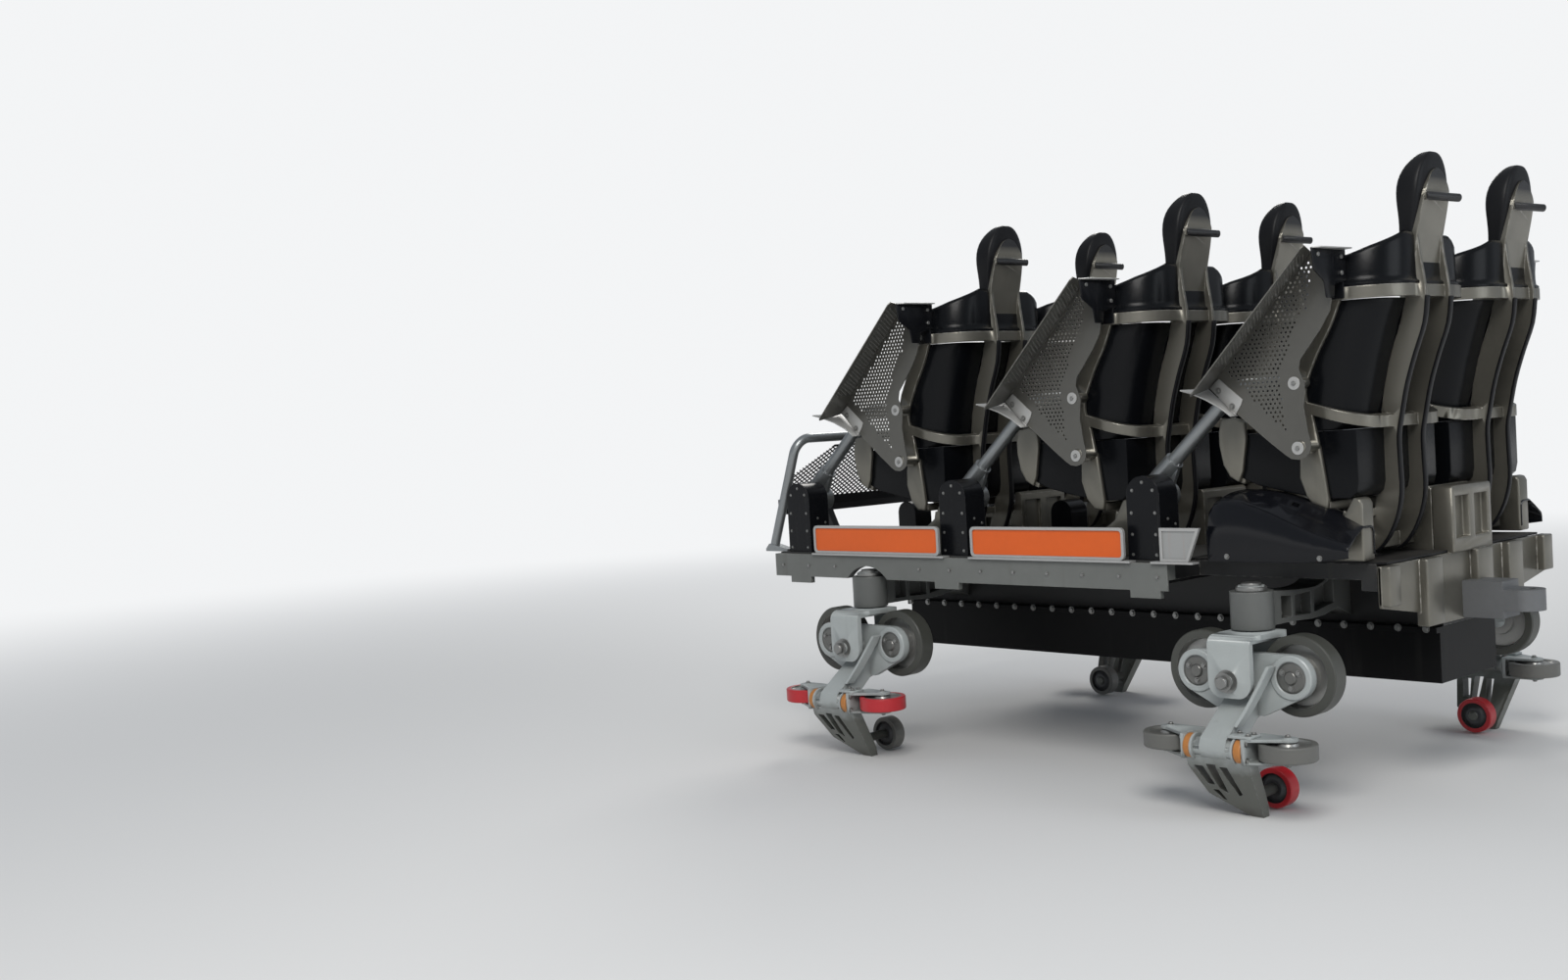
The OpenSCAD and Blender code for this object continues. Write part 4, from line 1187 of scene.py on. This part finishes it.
bogie = dict(
    windows=[[(94, 200), (54, 200), (40, 122), (70, 122)], [(62, 100), (36, 100), (22, 58), (36, 62)],
             [(-14, 204), (-48, 204), (-58, 92), (-40, 84)]],
    windowY=(40, 300), hub=(196.0, 82.0, 509.0), tube=(275.0, 268.0), flangeX=80, bushingX=89, discBolts=38,
    # radius and height of what is turned
    hubRing=[(58, 0), (58, 3), (62, 6), (78, 6), (82.4, 2), (82.4, -6), (60, -6)],
    hubDisc=[(0.5, 0), (0.5, 12), (20, 12), (23, 9), (26, 4), (50, 4), (57, 1), (57, -1)],
    flange=[(34, 0), (49, 0), (49, 9), (34, 9)],
    bushing=[(34, 0), (43, 0), (45.5, 4), (45.5, 25), (43, 29), (34, 29)],
    collar=[(35, 0), (55, 0), (57, 3), (57, 14), (54, 18), (35, 18)],
    cap=[(0.5, 0), (36, 0), (38, -3), (38, -40), (0.5, -40)],
    washer=[(0.5, 0), (41, 0), (43, 2), (43, 5), (0.5, 5)],
    lip=[(-140, 549), (-118, 470), (-94, 400), (-70, 345)], lipWide=50, lipLean=(-0.58, 0.405),
    topPlate=[(-152, 228), (-60, 228), (-60, 298), (-152, 298)], topPlateZ=(314, 12),
    pivotNut=26.0, pivotAt=(0, 214, 498), sideX=243.0, sideY=203.0, sidePins=((320, 1), (220, -1)),
    clevisX=132, clevisBolts=((190, 300), (190, 238), (296, 300), (296, 238)),
    topBolts=((-134, 245), (-78, 245), (-134, 282)), topBoltZ=326, boltSize=9.0,
)


def aboutY(x, y, z):
    # turns a part modelled about Z so that its top points outboard
    return Matrix.Translation(metres((x, y, z))) @ Matrix.Rotation(math.radians(-90), 4, "X")


def aboutX(x, y, z, way=1):
    return Matrix.Translation(metres((x, y, z))) @ Matrix.Rotation(math.radians(90 * way), 4, "Y")


def consumed(piece, matrix):
    made = copied(piece, matrix)
    discard(piece)
    return made


def makeHubs():
    # rings and discs on the rocker beam's ends, flanges and bushings on the cross tube, and the discs' bolts
    hubX, hubY, hubZ = bogie["hub"]
    tubeY, tubeZ = bogie["tube"]
    rings, discs, bushings, bolts = [], [], [], []
    for way in (-1, 1):
        rings.append(consumed(turned(bogie["hubRing"], 48), aboutY(way * hubX, hubY, hubZ)))
        discs.append(consumed(turned(bogie["hubDisc"], 40), aboutY(way * hubX, hubY, hubZ)))
        for i in range(3):
            a = math.tau * i / 3 + 0.5
            radius = bogie["discBolts"]
            point = (way * hubX + radius * math.cos(a), hubY + 4, hubZ + radius * math.sin(a))
            bolts.append((point, (0, 1, 0)))
        rings.append(consumed(turned(bogie["flange"], 40), aboutX(way * bogie["flangeX"], tubeY, tubeZ, way)))
        atBush = aboutX(way * bogie["bushingX"], tubeY, tubeZ, way)
        bushings.append(consumed(turned(bogie["bushing"], 40), atBush))
    return rings, discs, bushings, bolts


def makeBogies(bolt):
    frameCopy = nodeCopy("bogie_fl")
    frameCopy.data.transform(atBogie("fl").inverted())
    cut(frameCopy, joined([plate(window, "side", *bogie["windowY"]) for window in bogie["windows"]]))
    frameCopy = smooth(frameCopy, 0.5)
    rings, discs, bushings, bolts = makeHubs()
    lip = curveThrough([(x, z, 0) for x, z in bogie["lip"]], 5)
    outline = [(p[0], p[1]) for p in lip] + [(p[0] + 13, p[1] + 4) for p in reversed(lip)]
    band = plate(outline, "side", 0, bogie["lipWide"])
    # the neck leans out as it goes down, and its lip with it
    band.data.transform(Matrix(((1, 0, 0, 0), (0, 1, *bogie["lipLean"]), (0, 0, 1, 0), (0, 0, 0, 1))))
    rings.append(band)
    rings.append(rounded(plate(bogie["topPlate"], "top", *bogie["topPlateZ"]), 3))
    bright = []
    for profile, steps, matrix in (("collar", 48, moved(0, 0, 810)), ("cap", 40, moved(0, 0, 840)),
                                   ("washer", 40, aboutY(0, 190, 498))):
        bright.append(consumed(turned(bogie[profile], steps), matrix))
    big = bolted(bolt, bogie["pivotNut"], [(bogie["pivotAt"], (0, 1, 0))])
    for z, out in bogie["sidePins"]:
        bolts += [((way * bogie["sideX"], bogie["sideY"], z), (0, 0, out)) for way in (-1, 1)]
    bolts += [((way * bogie["clevisX"], y, z), (way, 0, 0))
              for way in (-1, 1) for y, z in bogie["clevisBolts"]]
    bolts += [((x, y, bogie["topBoltZ"]), (0, 0, 1)) for x, y in bogie["topBolts"]]
    small = bolted(bolt, bogie["boltSize"], bolts)
    pieces = dict(
        bogieFrame=(frameCopy, "paint", "bogie_paint"), hubRings=(joined(rings), "paint", "bogie_paint"),
        hubDiscs=(joined(discs), "hub", "coupler_steel"),
        bushings=(joined(bushings), "bush", "guide_wheel_red"),
        kingpinTop=(joined(bright), "bolt", "tube_steel"), pivotNut=(big, "bolt", "tube_steel"),
        bogieBolts=(small, "bolt", "tube_steel"))
    for name in bogies:
        placeAll(pieces, "_" + name, atBogie(name), "bogie_" + name, bogieFrame="bogie_" + name)
    discardAll(pieces)


# lap bar pads

def makePads():
    pad = dict(x=1000.0, z=1565.0, start=186.0, length=338.0, radius=57.0, fill=0.9,
               # share of the radius, distance from the nearer end
               end=[(0.6, 0), (0.88, 5), (0.98, 18), (1, 40)])
    r, l = pad["radius"], pad["length"]
    profile = [(0.5, 0)] + [(r * part, step) for part, step in pad["end"]]
    profile += [(r * 1.01, l * 0.3), (r * 1.015, l * 0.5), (r * 1.01, l * 0.7)]
    profile += [(r * part, l - step) for part, step in reversed(pad["end"])] + [(0.5, l)]
    model = smooth(turned(profile, 40), 1.2)
    for row, side, tag in eachSeat():
        put = moved(rowShift(row), 0, 0, side) @ aboutY(pad["x"], pad["start"], pad["z"])
        piece = place(copied(model, put), "barPad" + tag, finishes["rubber"], "lap_bar" + tag, "shell_black")
    discard(model)


# bolts on the frame, housings and carrier

def makeFrameBolts(bolt):
    sets = dict(
        carrierBolts=dict(size=11.0, y=262, z=616, along=range(-1390, 1290, 111)),
        housingBolts=dict(size=5.0, y=820, columns=(1412, 1522), heights=(935, 1015, 1100),
                          ring=(1467, 1169, 52),
                          angles=(0.4, 1.57, 2.74), rear=1390, rearPlaces=((767, 1073), (717, 1049))),
        beamBolts=dict(size=7.0, y=870, z=853,
                       along=(-620, -440, -260, -80, 100, 280, 460, 640, 1180, 1360, 1540)),
    )
    housing = sets["housingBolts"]
    middle, height, radius = housing["ring"]
    places = []
    for row in (1, 2, 3):
        x = rowShift(row)
        places += [((column + x, housing["y"], z), (0, 1, 0))
                   for column in housing["columns"] for z in housing["heights"]]
        places += [((middle + x + radius * math.cos(a), housing["y"], height + radius * math.sin(a)),
                    (0, 1, 0))
                   for a in housing["angles"]]
        places += [((housing["rear"] + x, y, z), (-1, 0, 0)) for y, z in housing["rearPlaces"]]
    for side, letter in sides:
        for name, group in sets.items():
            spots = places
            if "along" in group:
                spots = [((x, group["y"], group["z"]), (0, 1, 0)) for x in group["along"]]
            pieces = {name: (bolted(bolt, group["size"], spots), "bolt", "tube_steel")}
            placeAll(pieces, "_" + letter, moved(0, 0, 0, side))
            discardAll(pieces)


makeCamera()
makeWorld()
makeFloor()
makeLights()
print("stage ready")
for build in (makeToneGroup, makeEdgeGroup, makeCreviceGroup, makeStreakGroup, makeSpeckGroup, makeDustGroup,
              makeGrainGroup, makeSoftEdgeGroup, makeRadiusGroup):
    build()
looks = dressNodes()
finishes = dict(
    sheet=looks["arm_shields"], bracket=looks["sill_frames"], black=looks["lap_housings"],
    shell=looks["seat_shell"], cast=looks["seat_columns"], paint=looks["bogie"],
    bolt=plainFinish("boltSteel"),
    rubber=plainFinish("softRubber"), gloss=plainFinish("fenderGloss"), hub=plainFinish("hubDark"),
    bush=plainFinish("bushOrange"),
)
print("finishes ready")

bolt = makeBolt()
makeShields(bolt)
print("arm shields")
makeSeatShells()
print("seat shells")
makeCastings()
makeRearRibs()
print("seat castings")
makeFenders(bolt)
print("fenders")
makeBogies(bolt)
print("bogies")
makePads()
makeFrameBolts(bolt)
discard(bolt)
print("pads and bolts")
